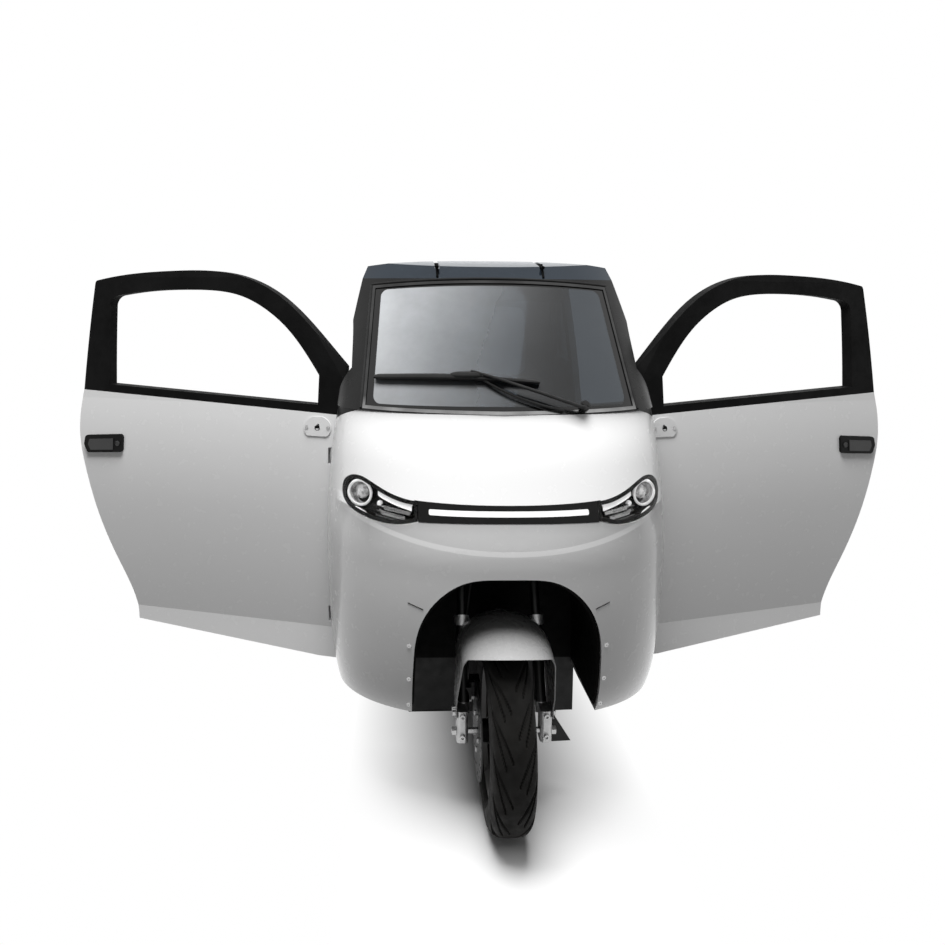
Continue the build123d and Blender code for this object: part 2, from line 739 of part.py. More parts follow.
# ---- steering and axles -----------------------------------------------------------------------------
def fork():
    """Two telescopic legs with their end lugs and the brake caliper, joined by a yoke to the stem."""
    y, z = front_axle_y, front_tyre_radius
    yoke = Plane(origin=on_stem(yoke_distance), z_dir=steer_dir, x_dir=(1, 0, 0))
    whole = yoke * extrude(RectangleRounded(2 * fork_half_spacing + 48, 60, 26), 26)
    whole += rod(on_stem(yoke_distance), on_stem(800), stem_radius)
    for side in (-1, 1):
        x = side * fork_half_spacing
        whole += rod(on_stem(30, x, fork_lead), on_stem(285, x, fork_lead), fork_tube_radius)
        whole += rod(on_stem(262, x, fork_lead), on_stem(288, x, fork_lead), fork_tube_radius + 5)
        whole += rod(on_stem(285, x, fork_lead), on_stem(yoke_distance + 15, x, fork_lead), fork_tube_radius - 4)
        middle = side * (lug_outside - 16)
        lug = block(middle - 16, middle + 16, y - 18, y + 34, z - 26, z + 62)
        whole += fillet(lug.edges().filter_by(Axis.Z), 10)
    whole += caliper()
    plate = closed(Polyline((126, 284), (140, 284), (192, 203), (126, 200), close=True))
    whole += front_prism(plate, y + 28, y + 32)
    return whole - x_disc(y, z, front_axle_radius + 0.3, -200, 200)


def caliper():
    """Brake caliper over the rear of the disc, held by the right leg."""
    y, z = front_axle_y, front_tyre_radius
    body = block(-92, -60, y + 62, y + 112, z + 54, z + 104)
    arm = block(-110, -86, y + 44, y + 112, z + 58, z + 98)
    slot = x_disc(y, z, brake_disc_radius + 3, brake_disc_x - 1.8, brake_disc_x + brake_disc_thickness + 1.8)
    return body + arm - slot


def front_axle():
    """Through bolt of the front wheel with a hex nut at each end."""
    y, z = front_axle_y, front_tyre_radius
    nut_length = 12.0
    inside = lug_outside + seat_gap
    shaft = x_disc(y, z, front_axle_radius, -inside - nut_length - 1, inside + nut_length + 1)
    for x in (-inside - nut_length, inside):
        shaft += Plane(origin=(x, y, z), z_dir=(1, 0, 0)) * extrude(RegularPolygon(12, 6), nut_length)
    return shaft


def guard_section(inset):
    """The mudguard from its crown down one side, as distance along X and radius, and its mirror."""
    crown = [(0, guard_radius), (62, guard_radius - 12), (92, guard_radius - 29), (113, guard_radius - 52),
             (124, guard_radius - 84)]
    tip = lug_outside + seat_gap + guard_thickness
    arc = moved_out(crown, inset)
    arc[0] = (0, guard_radius - inset)
    side, foot = (tip - inset, 110), (tip - inset, 40)
    half = closed(Spline(*arc), Line(arc[-1], side), Line(side, foot), Line(foot, (0, 40)),
                  Line((0, 40), arc[0]))
    return half + mirror(half, Plane.YZ)


def mudguard():
    """Domed guard over the front tyre whose sides come down outside the fork lugs."""
    y, z = front_axle_y, front_tyre_radius
    dome = spun(guard_section(0), 0, y, z) - spun(guard_section(guard_thickness), 0, y, z)
    sides = [
        (-205, 550), (-98, 500), (-18, 317), (-22, 294), (50, 294), (74, 400), (170, 420), (300, 430),
        (300, 640), (-205, 640),
    ]
    guard = dome & side_prism(closed(Polyline(*[(y + a, b) for a, b in sides], close=True)), -150, 150)
    for side in (-1, 1):
        x = side * fork_half_spacing
        guard -= rod(on_stem(200, x, fork_lead), on_stem(400, x, fork_lead), fork_tube_radius + 7)
        guard -= rod(on_stem(120, x, fork_lead), on_stem(205, x, fork_lead), fork_tube_radius + 1.5)
    return guard


def handlebar():
    """Bar bent back towards the driver with a grip at each end and the switch pod in the middle."""
    bar = rod(on_stem(804, -70), on_stem(804, 70), 11)
    half = rod(on_stem(804, 60), on_stem(822, 180, -20), 11)
    half += rod(on_stem(822, 180, -20), on_stem(824, 300, -60), 11)
    bar += both(half)
    clamp = Plane(origin=on_stem(780), z_dir=steer_dir, x_dir=(1, 0, 0))
    clamp = clamp * extrude(RectangleRounded(90, 56, 12), 40)
    return bar + clamp - rod(on_stem(700), on_stem(800.5), stem_radius + seat_gap)


def grips():
    pieces = []
    for side in (-1, 1):
        a, b = on_stem(822.6, side * 196, -25.5), on_stem(824, side * 303, -61)
        grip = rod(a, b, 17) - rod(on_stem(822, side * 180, -20), on_stem(824.1, side * 309, -63), 11.3)
        pieces.append(grip)
    return pieces


def rear_axle():
    """Beam axle with the motor and gear housing in its middle and a drum at each end."""
    y, z = rear_axle_y, rear_tyre_radius
    axle = x_disc(y, z, 30, -331, 331) + x_disc(y, z, 14, -385, 385) + x_disc(y, z, 88, -70, 70)
    motor = x_disc(y + 112, z, 76, -150, 60)
    axle += motor
    return axle


def hub():
    """Left brake drum with the wheel flange."""
    y, z = rear_axle_y, rear_tyre_radius
    face = rear_wheel_x + 10 - seat_gap
    drum = x_disc(y, z, 90, 336, face) + x_disc(y, z, 34, face, rear_wheel_x + 36)
    return drum - x_disc(y, z, 14.5, 300, 390)


def springs():
    """Leaf springs from the rails down to the axle."""
    leaves = []
    for side in (-1, 1):
        x = side * rail_half_spacing
        y, z = rear_axle_y, rear_tyre_radius + 30.3
        leaf = block(x - 18, x + 18, y - 60, y + 60, z, z + 56)
        leaves.append(leaf)
    return leaves


# ---- seats and cabin fittings -----------------------------------------------------------------------
def padded_block(x, y0, y1, z0, z1, radius):
    """A cushion's outer form with rounded edges."""
    pad = block(-x, x, y0, y1, z0, z1)
    return fillet(pad.edges(), radius)


def seat_pedestal():
    """Hollow box under the driver's seat."""
    y0, y1 = at(800), at(1120)
    return block(-170, 170, y0, y1, floor_top + seat_gap, 590) - block(-162, 162, y0 + 8, y1 - 8, 300, 582)


def driver_cushion():
    return padded_block(225, at(740), at(1150), 590.5, 680, 34)


def leaned(shape, y, z, angle):
    """Leans a shape back about a line across the cabin."""
    return Pos(0, y, z) * Rot(-angle, 0, 0) * Pos(0, -y, -z) * shape


def driver_backrest():
    return leaned(padded_block(215, at(1105), at(1185), 700, 1120, 34), at(1150), 690, 10)


def backrest_bracket():
    """Steel straps from the pedestal up to the driver's backrest."""
    straps = []
    for x in (-120, 120):
        low = block(x - 20, x + 20, at(1120.3), at(1200), 560, 566)
        straps.append(low + leaned(block(x - 20, x + 20, at(1186), at(1192), 540, 880), at(1150), 690, 10))
    return straps


def bench_base():
    """Hollow box under the rear bench with the battery inside."""
    y0, y1 = at(1330), at(1700)
    return block(-330, 330, y0, y1, 394.3, 590) - block(-322, 322, y0 + 8, y1 - 8, 380, 582)


def bench_straps():
    """Steel straps from the bench base up to its backrest."""
    straps = []
    for x in (-200, 200):
        low = block(x - 20, x + 20, at(1700.3), at(1792), 556, 562)
        straps.append(low + leaned(block(x - 20, x + 20, at(1770.3), at(1776.3), 500, 900), at(1700), 690, 9))
    return straps


def battery():
    return block(-260, 260, at(1360), at(1680), 394.4, 560)


def bench_cushion():
    return padded_block(400, at(1290), at(1690), 590.5, 680, 32)


def bench_backrest():
    return leaned(padded_block(390, at(1700), at(1770), 696, 1020, 32), at(1700), 690, 9)


# ---- lamps and small outer pieces -------------------------------------------------------------------
def front_skin(outline, proud, deep):
    """A piece set in the nose behind a front outline, from proud of the surface to deep under it."""
    return front_prism(outline, at(-300), at(230)) & (nose_solid(-proud) - nose_solid(deep))


def headlamp():
    return front_skin(lamp_outline(0), 1.5, 30)


def light_bar():
    """Black band with a groove for the light strip."""
    band = front_skin(bar_outline(0) & Rectangle(2 * (lamp_inner - seat_gap), 2400), 1.5, 24)
    return band - front_skin(strip_outline(seat_gap), 4, 6)


def strip_outline(grow):
    return Pos(0, 874) * RectangleRounded(2 * (strip_half + grow), 13 + 2 * grow, 4)


def light_strip():
    return front_skin(strip_outline(0), 2.5, 5.7)


def tail_lamp_outline(grow):
    return Pos(405, 750) * RectangleRounded(110 + 2 * grow, 220 + 2 * grow, 30)


def tail_lamp(shell):
    """Left tail lamp let into the rear panel and following its corner."""
    return shell & front_prism(tail_lamp_outline(0), at(tail_setback - 239), at(tail_setback + 61))


def rear_bumper():
    y = at(tail_setback)
    return fillet(block(-400, 400, y - 13.7, y, 400, 500).edges().filter_by(Axis.X), 5)


def plate_bracket():
    """Rear number plate holder with two holes, its plate left blank."""
    y = at(tail_setback - 14)
    plate = block(-110, 110, y + 0.3, y + 3.3, 560, 690)
    for x in (-60, 60):
        plate -= rod((x, y - 5, 625), (x, y + 10, 625), 3.5)
    return plate


def main():
    os.makedirs("parts", exist_ok=True)
    outer = cabin_solid(0)
    shell = outer - cabin_solid(wall)
    blank = door_blank(outer)
    pane = cabin_solid(8) - cabin_solid(8 + glass_thickness)
    left = {
        "door_skin": swing(door_skin(blank)),
        "door_window_frame": swing(door_frame(blank)),
        "door_handle": swing(door_handle(outer)),
        "mirror_base_plate": swing(mirror_plate(outer)),
        "door_hinge_pins": swing(hinge_pins()),
        "quarter_panel": quarter_panel(shell),
        "rear_tyre": rear_tyre(),
        "rear_rim": rear_rim(),
        "rear_hub": hub(),
    }
    pairs = {
        "door_hinge_leaves": Compound(hinge_leaves()),
        "headlamps": headlamp(),
        "quarter_windows": side_prism(quarter_window(-seat_gap), 200, 700) & pane,
        "rear_wheelhouses": wheelhouse(),
        "tail_lamps": tail_lamp(shell),
    }
    whole = {
        "nose_panel": nose_panel(shell),
        "screen_surround": screen_surround(shell),
        "windscreen": windscreen(),
        "windscreen_trim": windscreen_trim(),
        "roof": roof(shell),
        "rear_panel": rear_panel(shell),
        "rear_window": pane & front_prism(rear_window(-seat_gap), at(tail_setback - 539), at(tail_setback + 61)),
        "front_wheel_liner": wheel_liner(),
        "dashboard": dashboard(),
        "chassis": chassis(),
        "floor_pan": floor_pan(),
        "front_tyre": front_tyre(),
        "front_rim": front_rim(),
        "brake_disc": brake_disc(),
        "fork": fork(),
        "front_axle": front_axle(),
        "front_mudguard": mudguard(),
        "handlebar": handlebar(),
        "handlebar_grips": Compound(grips()),
        "rear_axle": rear_axle(),
        "leaf_springs": Compound(springs()),
        "driver_seat_frame": Compound([seat_pedestal()] + backrest_bracket()),
        "driver_seat_cushion": driver_cushion(),
        "driver_seat_backrest": driver_backrest(),
        "bench_base": Compound([bench_base()] + bench_straps()),
        "battery": battery(),
        "bench_cushion": bench_cushion(),
        "bench_backrest": bench_backrest(),
        "light_bar": light_bar(),
        "light_strip": light_strip(),
        "rear_bumper": rear_bumper(),
        "plate_bracket": plate_bracket(),
    }
    for name, shape in left.items():
        whole[name + "_left"] = shape
        whole[name + "_right"] = mirrored(shape)
    for name, shape in pairs.items():
        whole[name] = Compound(list(shape.solids()) + list(mirrored(shape).solids()))
    for name, shape in whole.items():
        export_step(shape, f"parts/{name}.step")


main()
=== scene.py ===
import math

import bmesh
import bpy
import numpy as np
from mathutils import Matrix, Vector


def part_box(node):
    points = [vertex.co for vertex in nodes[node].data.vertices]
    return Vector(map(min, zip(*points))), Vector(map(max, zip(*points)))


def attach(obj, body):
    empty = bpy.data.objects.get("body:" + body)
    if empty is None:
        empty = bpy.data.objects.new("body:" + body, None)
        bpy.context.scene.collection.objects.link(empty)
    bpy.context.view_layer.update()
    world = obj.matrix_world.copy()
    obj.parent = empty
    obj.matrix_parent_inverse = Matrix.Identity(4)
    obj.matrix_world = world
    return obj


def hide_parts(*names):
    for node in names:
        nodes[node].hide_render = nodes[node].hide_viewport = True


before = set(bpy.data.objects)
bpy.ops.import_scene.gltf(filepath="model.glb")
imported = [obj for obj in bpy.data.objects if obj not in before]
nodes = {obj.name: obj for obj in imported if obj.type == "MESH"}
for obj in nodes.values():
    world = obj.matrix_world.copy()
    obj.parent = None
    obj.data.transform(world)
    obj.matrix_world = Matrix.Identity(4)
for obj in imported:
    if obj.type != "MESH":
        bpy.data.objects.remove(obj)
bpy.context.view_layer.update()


# ---- Chassis, seat frames and brackets ----------------------------------------------------------
# Welded square tube and folded sheet in satin black powder coat, brushed with road film low down.
def add(tree, kind, settings=None, **inputs):
    """Adds a shader node and sets its sockets by name or by number (i0, i1); a given socket is linked."""
    node = tree.nodes.new("ShaderNode" + kind)
    for key, value in (settings or {}).items():
        setattr(node, key, value)
    for key, value in inputs.items():
        numbered = key[0] == "i" and key[1:].isdigit()
        socket = node.inputs[int(key[1:])] if numbered else node.inputs[key.replace("_", " ")]
        if isinstance(value, bpy.types.NodeSocket):
            tree.links.new(value, socket)
        else:
            socket.default_value = value
    return node


def feed(shader, socket, value):
    """Links a value to a socket of the shader."""
    shader.id_data.links.new(value, shader.inputs[socket])


def here(tree):
    """The point being shaded, in the object's own frame."""
    return add(tree, "TexCoord").outputs["Object"]


def axes(tree, place):
    """The x, y and z of a place."""
    return add(tree, "SeparateXYZ", Vector=place).outputs[:]


def emboss(tree, shader, height, strength, distance):
    """Bends the shading as a relief would: its height times a strength and a depth in metres."""
    bump = add(tree, "Bump", Height=height, Strength=strength, Distance=distance)
    feed(shader, "Normal", bump.outputs["Normal"])


def blank(name, **constants):
    """A new material with its principled shader, whose constant sockets are set here."""
    material = bpy.data.materials.new(name)
    material.use_nodes = True
    tree = material.node_tree
    shader = tree.nodes["Principled BSDF"]
    for key, value in constants.items():
        shader.inputs[key.replace("_", " ")].default_value = value
    return material, tree, shader


def grey(value):
    """A neutral colour."""
    return (value, value, value, 1.0)


def noise(tree, place, scale, detail=3.0, rough=0.5):
    """Cloudy noise at a place, from 0 to 1."""
    return add(tree, "TexNoise", Vector=place, Scale=scale, Detail=detail, Roughness=rough).outputs["Fac"]


def ramp(tree, value, low, high, start, end):
    """Maps a value between low and high onto start to end, clamped."""
    node = add(tree, "MapRange", {"clamp": True}, Value=value)
    for key, number in (("From Min", low), ("From Max", high), ("To Min", start), ("To Max", end)):
        node.inputs[key].default_value = number
    return node.outputs["Result"]


def mix(tree, factor, one, other):
    """Mixes two colours by a factor."""
    return add(tree, "Mix", {"data_type": "RGBA"}, i0=factor, i6=one, i7=other).outputs[2]


def calc(tree, operation, one, other=0.0):
    """One step of arithmetic on two values."""
    return add(tree, "Math", {"operation": operation}, i0=one, i1=other).outputs[0]


def finish(name, light, dark, patch=6.0, rough=(0.3, 0.5), grain=300.0, depth=0.05, film=0.0, shine=0.5,
           **constants):
    """Two close colours (or greys, as one number) in soft patches, uneven roughness, a fine grain as
    bump, and road film that thickens towards the ground."""
    light, dark = (shade if isinstance(shade, tuple) else grey(shade) for shade in (light, dark))
    material, tree, shader = blank(name, Specular_IOR_Level=shine, **constants)
    place = here(tree)
    colour = mix(tree, ramp(tree, noise(tree, place, patch), 0.35, 0.65, 0, 1), light, dark)
    if film:
        height = axes(tree, place)[2]
        low = ramp(tree, height, 0.05, 0.7, film, 0)
        low = calc(tree, "MULTIPLY", low, ramp(tree, noise(tree, place, 9, 6, 0.65), 0.3, 0.7, 0.2, 1))
        colour = mix(tree, low, colour, (0.2, 0.185, 0.16, 1))
    feed(shader, "Base Color", colour)
    feed(shader, "Roughness", ramp(tree, noise(tree, place, 40, 4), 0.3, 0.7, *rough))
    emboss(tree, shader, noise(tree, place, grain, 2), depth, 0.002)
    return material


def dress(material, *names):
    """Gives CAD nodes a material."""
    for name in names:
        nodes[name].data.materials.clear()
        nodes[name].data.materials.append(material)


def piece(name, grids, material, body, crease=35.0):
    """Joins grids of points (rows, columns, 3) into one mesh, seams merged and faces turned outward."""
    points, faces, start = [], [], 0
    for grid in grids:
        rows, columns = grid.shape[:2]
        index = np.arange(rows * columns).reshape(rows, columns) + start
        corners = (index[:-1, :-1], index[1:, :-1], index[1:, 1:], index[:-1, 1:])
        faces.append(np.stack(corners, -1).reshape(-1, 4))
        points.append(grid.reshape(-1, 3))
        start += rows * columns
    mesh = bpy.data.meshes.new(name)
    mesh.from_pydata(np.concatenate(points).tolist(), [], np.concatenate(faces).tolist())
    form = bmesh.new()
    form.from_mesh(mesh)
    bmesh.ops.remove_doubles(form, verts=form.verts, dist=2e-6)
    bmesh.ops.recalc_face_normals(form, faces=form.faces)
    form.to_mesh(mesh)
    form.free()
    mesh.shade_smooth()
    mesh.set_sharp_from_angle(angle=math.radians(crease))
    mesh.materials.append(material)
    thing = bpy.data.objects.new(name, mesh)
    bpy.context.collection.objects.link(thing)
    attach(thing, body)
    return thing


def closed(loops):
    """A grid of loops, each closed on itself."""
    grid = np.stack(loops)
    return np.concatenate([grid, grid[:, :1]], 1)


def loft(*loops):
    """A closed skin through loops of points (n, 3), each loop closed on itself; the first and the last
    loop shrink onto their middles."""
    rows = [loops[0].mean(0) + 0 * loops[0], *loops, loops[-1].mean(0) + 0 * loops[-1]]
    return closed(rows)


def tube(path, radius, steps=12, flat=1.0):
    """A round or oval bar carried along a path (n, 3): at each point a ring squarely across it."""
    path = np.asarray(path, float)
    ahead = np.gradient(path, axis=0)
    ahead /= np.linalg.norm(ahead, axis=1)[:, None]
    hint = np.array([0.03, 0.05, 1.0]) if abs(ahead[:, 2]).mean() < 0.8 else np.array([1.0, 0.05, 0.03])
    aside = np.cross(ahead, hint)
    aside /= np.linalg.norm(aside, axis=1)[:, None]
    up = np.cross(aside, ahead)
    angle = np.linspace(0, 2 * np.pi, steps, endpoint=False)[None, :, None]
    size = np.broadcast_to(np.asarray(radius, float), (len(path),))[:, None, None]
    rings = path[:, None] + size * (np.cos(angle) * aside[:, None] + flat * np.sin(angle) * up[:, None])
    return loft(*rings)


def curve(points, steps=24):
    """A smooth line through points (n, 3): cubic pieces whose slopes are those of the neighbours."""
    points = np.asarray(points, float)
    slopes = np.gradient(points, axis=0)
    t = np.linspace(0, len(points) - 1, steps)
    i = np.minimum(t.astype(int), len(points) - 2)
    f = (t - i)[:, None]
    a, b, p, q = points[i], points[i + 1], slopes[i], slopes[i + 1]
    return (a * (1 + 2 * f) * (1 - f) ** 2 + p * f * (1 - f) ** 2
            + b * f * f * (3 - 2 * f) + q * f * f * (f - 1))


def spin(profile, centre, axis, steps=32, sides=0):
    """Turns a profile of (distance along the axis, radius) about an axis through a centre; with sides,
    each ring is a polygon with that many corners."""
    profile, centre, axis = (np.asarray(v, float) for v in (profile, centre, axis))
    axis = axis / np.linalg.norm(axis)
    aside = np.cross(axis, [0.03, 0.9, 0.4])
    aside /= np.linalg.norm(aside)
    up = np.cross(axis, aside)
    turn = np.linspace(0, 2 * np.pi, steps + 1)[None, :, None]
    swell = 1.0
    if sides:
        part = np.pi / sides
        swell = np.cos(part) / np.cos(np.mod(turn, 2 * part) - part)
    radius = profile[:, 1][:, None, None] * swell
    rings = radius * (np.cos(turn) * aside + np.sin(turn) * up)
    return centre + profile[:, 0][:, None, None] * axis + rings


def mirrored(grids):
    """The same grids on the other side of the mid plane."""
    return [grid * np.array([-1.0, 1.0, 1.0]) for grid in grids]


def pair(name, grids, material):
    """A piece of the body on both sides of the mid plane."""
    return piece(name, grids + mirrored(grids), material, "body")


frame_black = finish("frame_black", 0.008, 0.016, rough=(0.4, 0.6), grain=250, depth=0.1, film=0.3,
                     shine=0.25)
dress(frame_black, "chassis", "driver_seat_frame", "bench_base", "plate_bracket")


# ---- Rear axle, springs and hubs ----------------------------------------------------------------
# Cast housing and drums, sand-cast skin under dull paint, with bare spring steel between U-bolts.
cast = finish("cast", 0.05, 0.09, rough=(0.5, 0.75), grain=500, depth=0.3, film=0.4, Metallic=0.6)
dress(cast, "rear_axle", "rear_hub_left", "rear_hub_right")
steel = finish("steel", 0.42, 0.5, rough=(0.25, 0.45), grain=400, depth=0.08, Metallic=1.0)
dress(steel, "front_axle", "leaf_springs", "door_hinge_pins_left", "door_hinge_pins_right",
      "door_hinge_leaves")
rear_axle_y, rear_axle_z = 0.636, 0.247
bend = ((-0.022, 0.352), (-0.022, 0.24), (-0.015, 0.218), (0.015, 0.218), (0.022, 0.24), (0.022, 0.352))
bolts = []
for side in (-1, 1):
    for dy in (-0.045, 0.045):
        loop = [[side * 0.29 + dx, rear_axle_y + dy, z] for dx, z in bend]
        bolts.append(tube(curve(loop, 30), 0.0045, 10))
piece("spring_u_bolts", bolts, steel, "body")
studs = []
for side in (-1, 1):
    for turn in np.radians(np.arange(0, 360, 72)):
        place = (side * 0.4575, rear_axle_y + 0.05 * np.cos(turn), rear_axle_z + 0.05 * np.sin(turn))
        nut = [(-0.004, 0), (-0.004, 0.0105), (0.008, 0.0105), (0.011, 0.008), (0.012, 0.0)]
        studs.append((side, spin(nut, place, (side, 0, 0), 12, 6)))
for side, name in ((1, "rear_wheel_left"), (-1, "rear_wheel_right")):
    nuts = [grid - np.array([side * 0.022, 0, 0]) for s, grid in studs if s == side]
    piece(name + "_nuts", nuts, steel, name)
    cap = [(0, 0), (0, 0.034), (0.012, 0.034), (0.022, 0.028), (0.026, 0.014), (0.027, 0)]
    piece(name + "_cap", [spin(cap, (side * 0.4565, rear_axle_y, rear_axle_z), (side, 0, 0))], cast, name)
hose_rubber = finish("hose_rubber", 0.01, 0.018, rough=(0.45, 0.65), grain=300, shine=0.3)
cables = []
for dx in (-0.02, 0.0, 0.02):
    path = [[dx - 0.05, 0.76, 0.318], [dx - 0.05, 0.74, 0.37], [dx - 0.04, 0.66, 0.372],
            [dx - 0.03, 0.56, 0.37]]
    cables.append(tube(curve(path, 20), 0.006, 10))
piece("motor_cables", cables, hose_rubber, "body")


# ---- Rear wheels --------------------------------------------------------------------------------
# Pressed steel wheels painted silver with block-tread van tyres: straight grooves and side slits.
def tread_tyre(name, centre, radius, width, rim, drop, pattern, steps, body):
    """A tyre as a closed profile turned about X; the crown is pressed in wherever the pattern of
    (turn, place across the crown from -1 to 1) says, by its depth in metres."""
    across = np.linspace(-1, 1, 57)
    half = width / 2
    crown_x = half * 0.93 * np.sin(across * np.pi / 2 * 0.93) / np.sin(np.pi / 2 * 0.93)
    crown_r = radius - drop * np.abs(across) ** 2.6
    wall = [(0.965, 0.62), (1.0, 0.42), (0.985, 0.26), (0.9, 0.12), (0.74, 0.03), (0.66, 0.0)]
    low = rim + 0.0005
    high = radius - drop
    right = np.array([(half * a, low + (high - low) * b) for a, b in wall])
    inside = np.array([(half * 0.5, low), (0, low + 0.002), (-half * 0.5, low)])
    left = right[::-1] * [-1, 1]
    profile = np.concatenate([np.stack([crown_x, crown_r], 1), right, inside, left,
                              [[crown_x[0], crown_r[0]]]])
    turn = np.linspace(0, 2 * np.pi, steps + 1)[:, None]
    cut = np.zeros((steps + 1, len(profile)))
    cut[:, :57] = pattern(turn, across[None, :])
    shoulder_ribs = 0.0006 * (np.abs(np.sin(turn * 60)) > 0.7)
    cut[:, 58:59] -= shoulder_ribs
    ring = profile[None, :, 1] - cut
    grid = np.stack([profile[None, :, 0] + 0 * ring, ring * np.cos(turn), ring * np.sin(turn)], -1)
    tyre = piece(name, [grid + np.asarray(centre)], tyre_rubber, body, 30)
    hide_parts(name.replace("_tread", ""))
    return tyre


def groove(value, width):
    """1 in the middle of a groove and 0 outside its width, with steep sides."""
    return np.clip((width - np.abs(value)) / (0.35 * width), 0, 1)


def van_tread(turn, across):
    """Two grooves round the crown, 44 slits at each shoulder and short cuts along the middle."""
    lines = np.maximum(groove(across - 0.33, 0.05), groove(across + 0.33, 0.05))
    phase = np.mod(turn * 44 / (2 * np.pi) + 0.35 * across, 1) - 0.5
    slits = groove(phase, 0.11) * (np.abs(across) > 0.42) * (np.abs(across) < 0.97)
    sipes = groove(np.mod(phase + 0.5, 1) - 0.5, 0.07) * (np.abs(across) < 0.2)
    return 0.006 * np.maximum(lines, np.maximum(slits, 0.7 * sipes))


tyre_rubber = finish("tyre_rubber", 0.003, 0.006, patch=12, rough=(0.55, 0.8), grain=900, depth=0.2,
                     film=0.06, shine=0.12)
for side, name in ((1, "left"), (-1, "right")):
    tread_tyre(f"rear_tyre_{name}_tread", (side * 0.42, rear_axle_y, rear_axle_z), 0.247, 0.135, 0.160,
               0.012, van_tread, 528, f"rear_wheel_{name}")
rim_steel = finish("rim_steel", 0.5, 0.42, rough=(0.3, 0.45), grain=300, film=0.4, Metallic=0.5)
dress(rim_steel, "rear_rim_left", "rear_rim_right")


# ---- Front wheel --------------------------------------------------------------------------------
# Cast black rim with a scooter tyre whose curved grooves sweep from the centre to the shoulders, and
# a drilled disc on its right.
front_axle_y, front_axle_z = -0.844, 0.251


def sport_tread(turn, across):
    """Fourteen long and fourteen short grooves a side, each later in the turn the further out it is."""
    side = np.sign(across + 1e-9)
    reach = np.abs(across)
    phase = np.mod(turn * 14 / (2 * np.pi) + 1.5 * reach ** 0.75 + 0.25 * side, 1) - 0.5
    sweep = groove(phase, 0.06 + 0.05 * reach) * (reach > 0.08) * (reach < 0.8)
    second = np.mod(turn * 14 / (2 * np.pi) + 2.2 * reach + 0.25 * side + 0.45, 1) - 0.5
    short = groove(second, 0.085) * (reach > 0.3) * (reach < 0.93)
    return 0.0052 * np.maximum(sweep, short)


tread_tyre("front_tyre_tread", (0, front_axle_y, front_axle_z), 0.251, 0.120, 0.172, 0.030, sport_tread,
           720, "front_wheel")
rim_black = finish("rim_black", 0.012, 0.02, rough=(0.25, 0.4), film=0.25, shine=0.35)
dress(rim_black, "front_rim")
disc_steel, tree, shader = blank("disc_steel", Metallic=1.0)
place = here(tree)
centred = add(tree, "VectorMath", {"operation": "SUBTRACT"}, i0=place,
              i1=(0, front_axle_y, front_axle_z)).outputs[0]
flat = add(tree, "VectorMath", {"operation": "MULTIPLY"}, i0=centred, i1=(0, 1, 1)).outputs[0]
from_axle = add(tree, "VectorMath", {"operation": "LENGTH"}, i0=flat).outputs["Value"]
rings = calc(tree, "SINE", calc(tree, "MULTIPLY", from_axle, 5200.0))
scored = ramp(tree, rings, -1, 1, 0, 1)
swept = ramp(tree, from_axle, 0.088, 0.092, 0, 1)
feed(shader, "Base Color", mix(tree, swept, grey(0.012), mix(tree, scored, grey(0.035), grey(0.055))))
feed(shader, "Roughness", ramp(tree, scored, 0, 1, 0.35, 0.5))
emboss(tree, shader, scored, 0.15, 0.0005)
dress(disc_steel, "brake_disc")
# The drill holes are thin black discs on the face of the disc: painted shade in place of open holes.
holes = []
for ring, radius in enumerate((0.094, 0.104, 0.114)):
    for turn in np.radians(np.arange(0, 360, 30) + 10 * ring):
        spot = (-0.0742, front_axle_y + radius * np.cos(turn), front_axle_z + radius * np.sin(turn))
        holes.append(spin([(-0.0002, 0), (-0.0002, 0.0034), (0.0002, 0.0034), (0.0002, 0)], spot, (1, 0, 0),
                          10))
hole_painted_shade = finish("hole_painted_shade", 0.002, 0.004, rough=(0.8, 0.9), shine=0.0)
piece("disc_holes", holes, hole_painted_shade, "front_wheel")
bolts = []
for turn in np.radians(np.arange(0, 360, 72) + 36):
    spot = (-0.0738, front_axle_y + 0.048 * np.cos(turn), front_axle_z + 0.048 * np.sin(turn))
    bolts.append(spin([(0, 0), (0, 0.0075), (0.004, 0.0075), (0.0052, 0.0055), (0.0052, 0)], spot,
                      (-1, 0, 0), 12, 6))
piece("disc_bolts", bolts, steel, "front_wheel")


# ---- Fork, brake hose and front guard -----------------------------------------------------------
# Aluminium lower legs on dark tubes, socket-head pinch bolts, and a smooth moulded guard.
rake = math.radians(25)
stem_foot = np.array([0, -0.812, 0.251])
stem_up = np.array([0, math.sin(rake), math.cos(rake)])
stem_forward = np.array([0, -math.cos(rake), math.sin(rake)])


def on_stem(distance, x=0.0, aside=0.0):
    """A point along the steering axis, to one side of it and forward of it, in metres."""
    return stem_foot + stem_up * distance + stem_forward * aside + np.array([x, 0, 0])


fork_paint, tree, shader = blank("fork_paint", Metallic=0.75)
place = here(tree)
across, aft, height = axes(tree, place)
along = calc(tree, "ADD", calc(tree, "MULTIPLY", height, math.cos(rake)),
             calc(tree, "MULTIPLY", aft, math.sin(rake)))
low_end = ramp(tree, height, 0.312, 0.316, 1, 0)
collar = calc(tree, "MULTIPLY", ramp(tree, along, 0.1425, 0.144, 0, 1),
              ramp(tree, along, 0.171, 0.1725, 1, 0))
bare = calc(tree, "MAXIMUM", low_end, collar)
bare = calc(tree, "MULTIPLY", bare, ramp(tree, across, 0.1325, 0.1335, 1, 0))
cloud = ramp(tree, noise(tree, place, 60, 4), 0.35, 0.65, 0, 1)
feed(shader, "Base Color", mix(tree, bare, mix(tree, cloud, grey(0.012), grey(0.02)),
                               mix(tree, cloud, grey(0.46), grey(0.6))))
feed(shader, "Roughness", ramp(tree, cloud, 0, 1, 0.32, 0.48))
emboss(tree, shader, noise(tree, place, 500, 2), 0.12, 0.002)
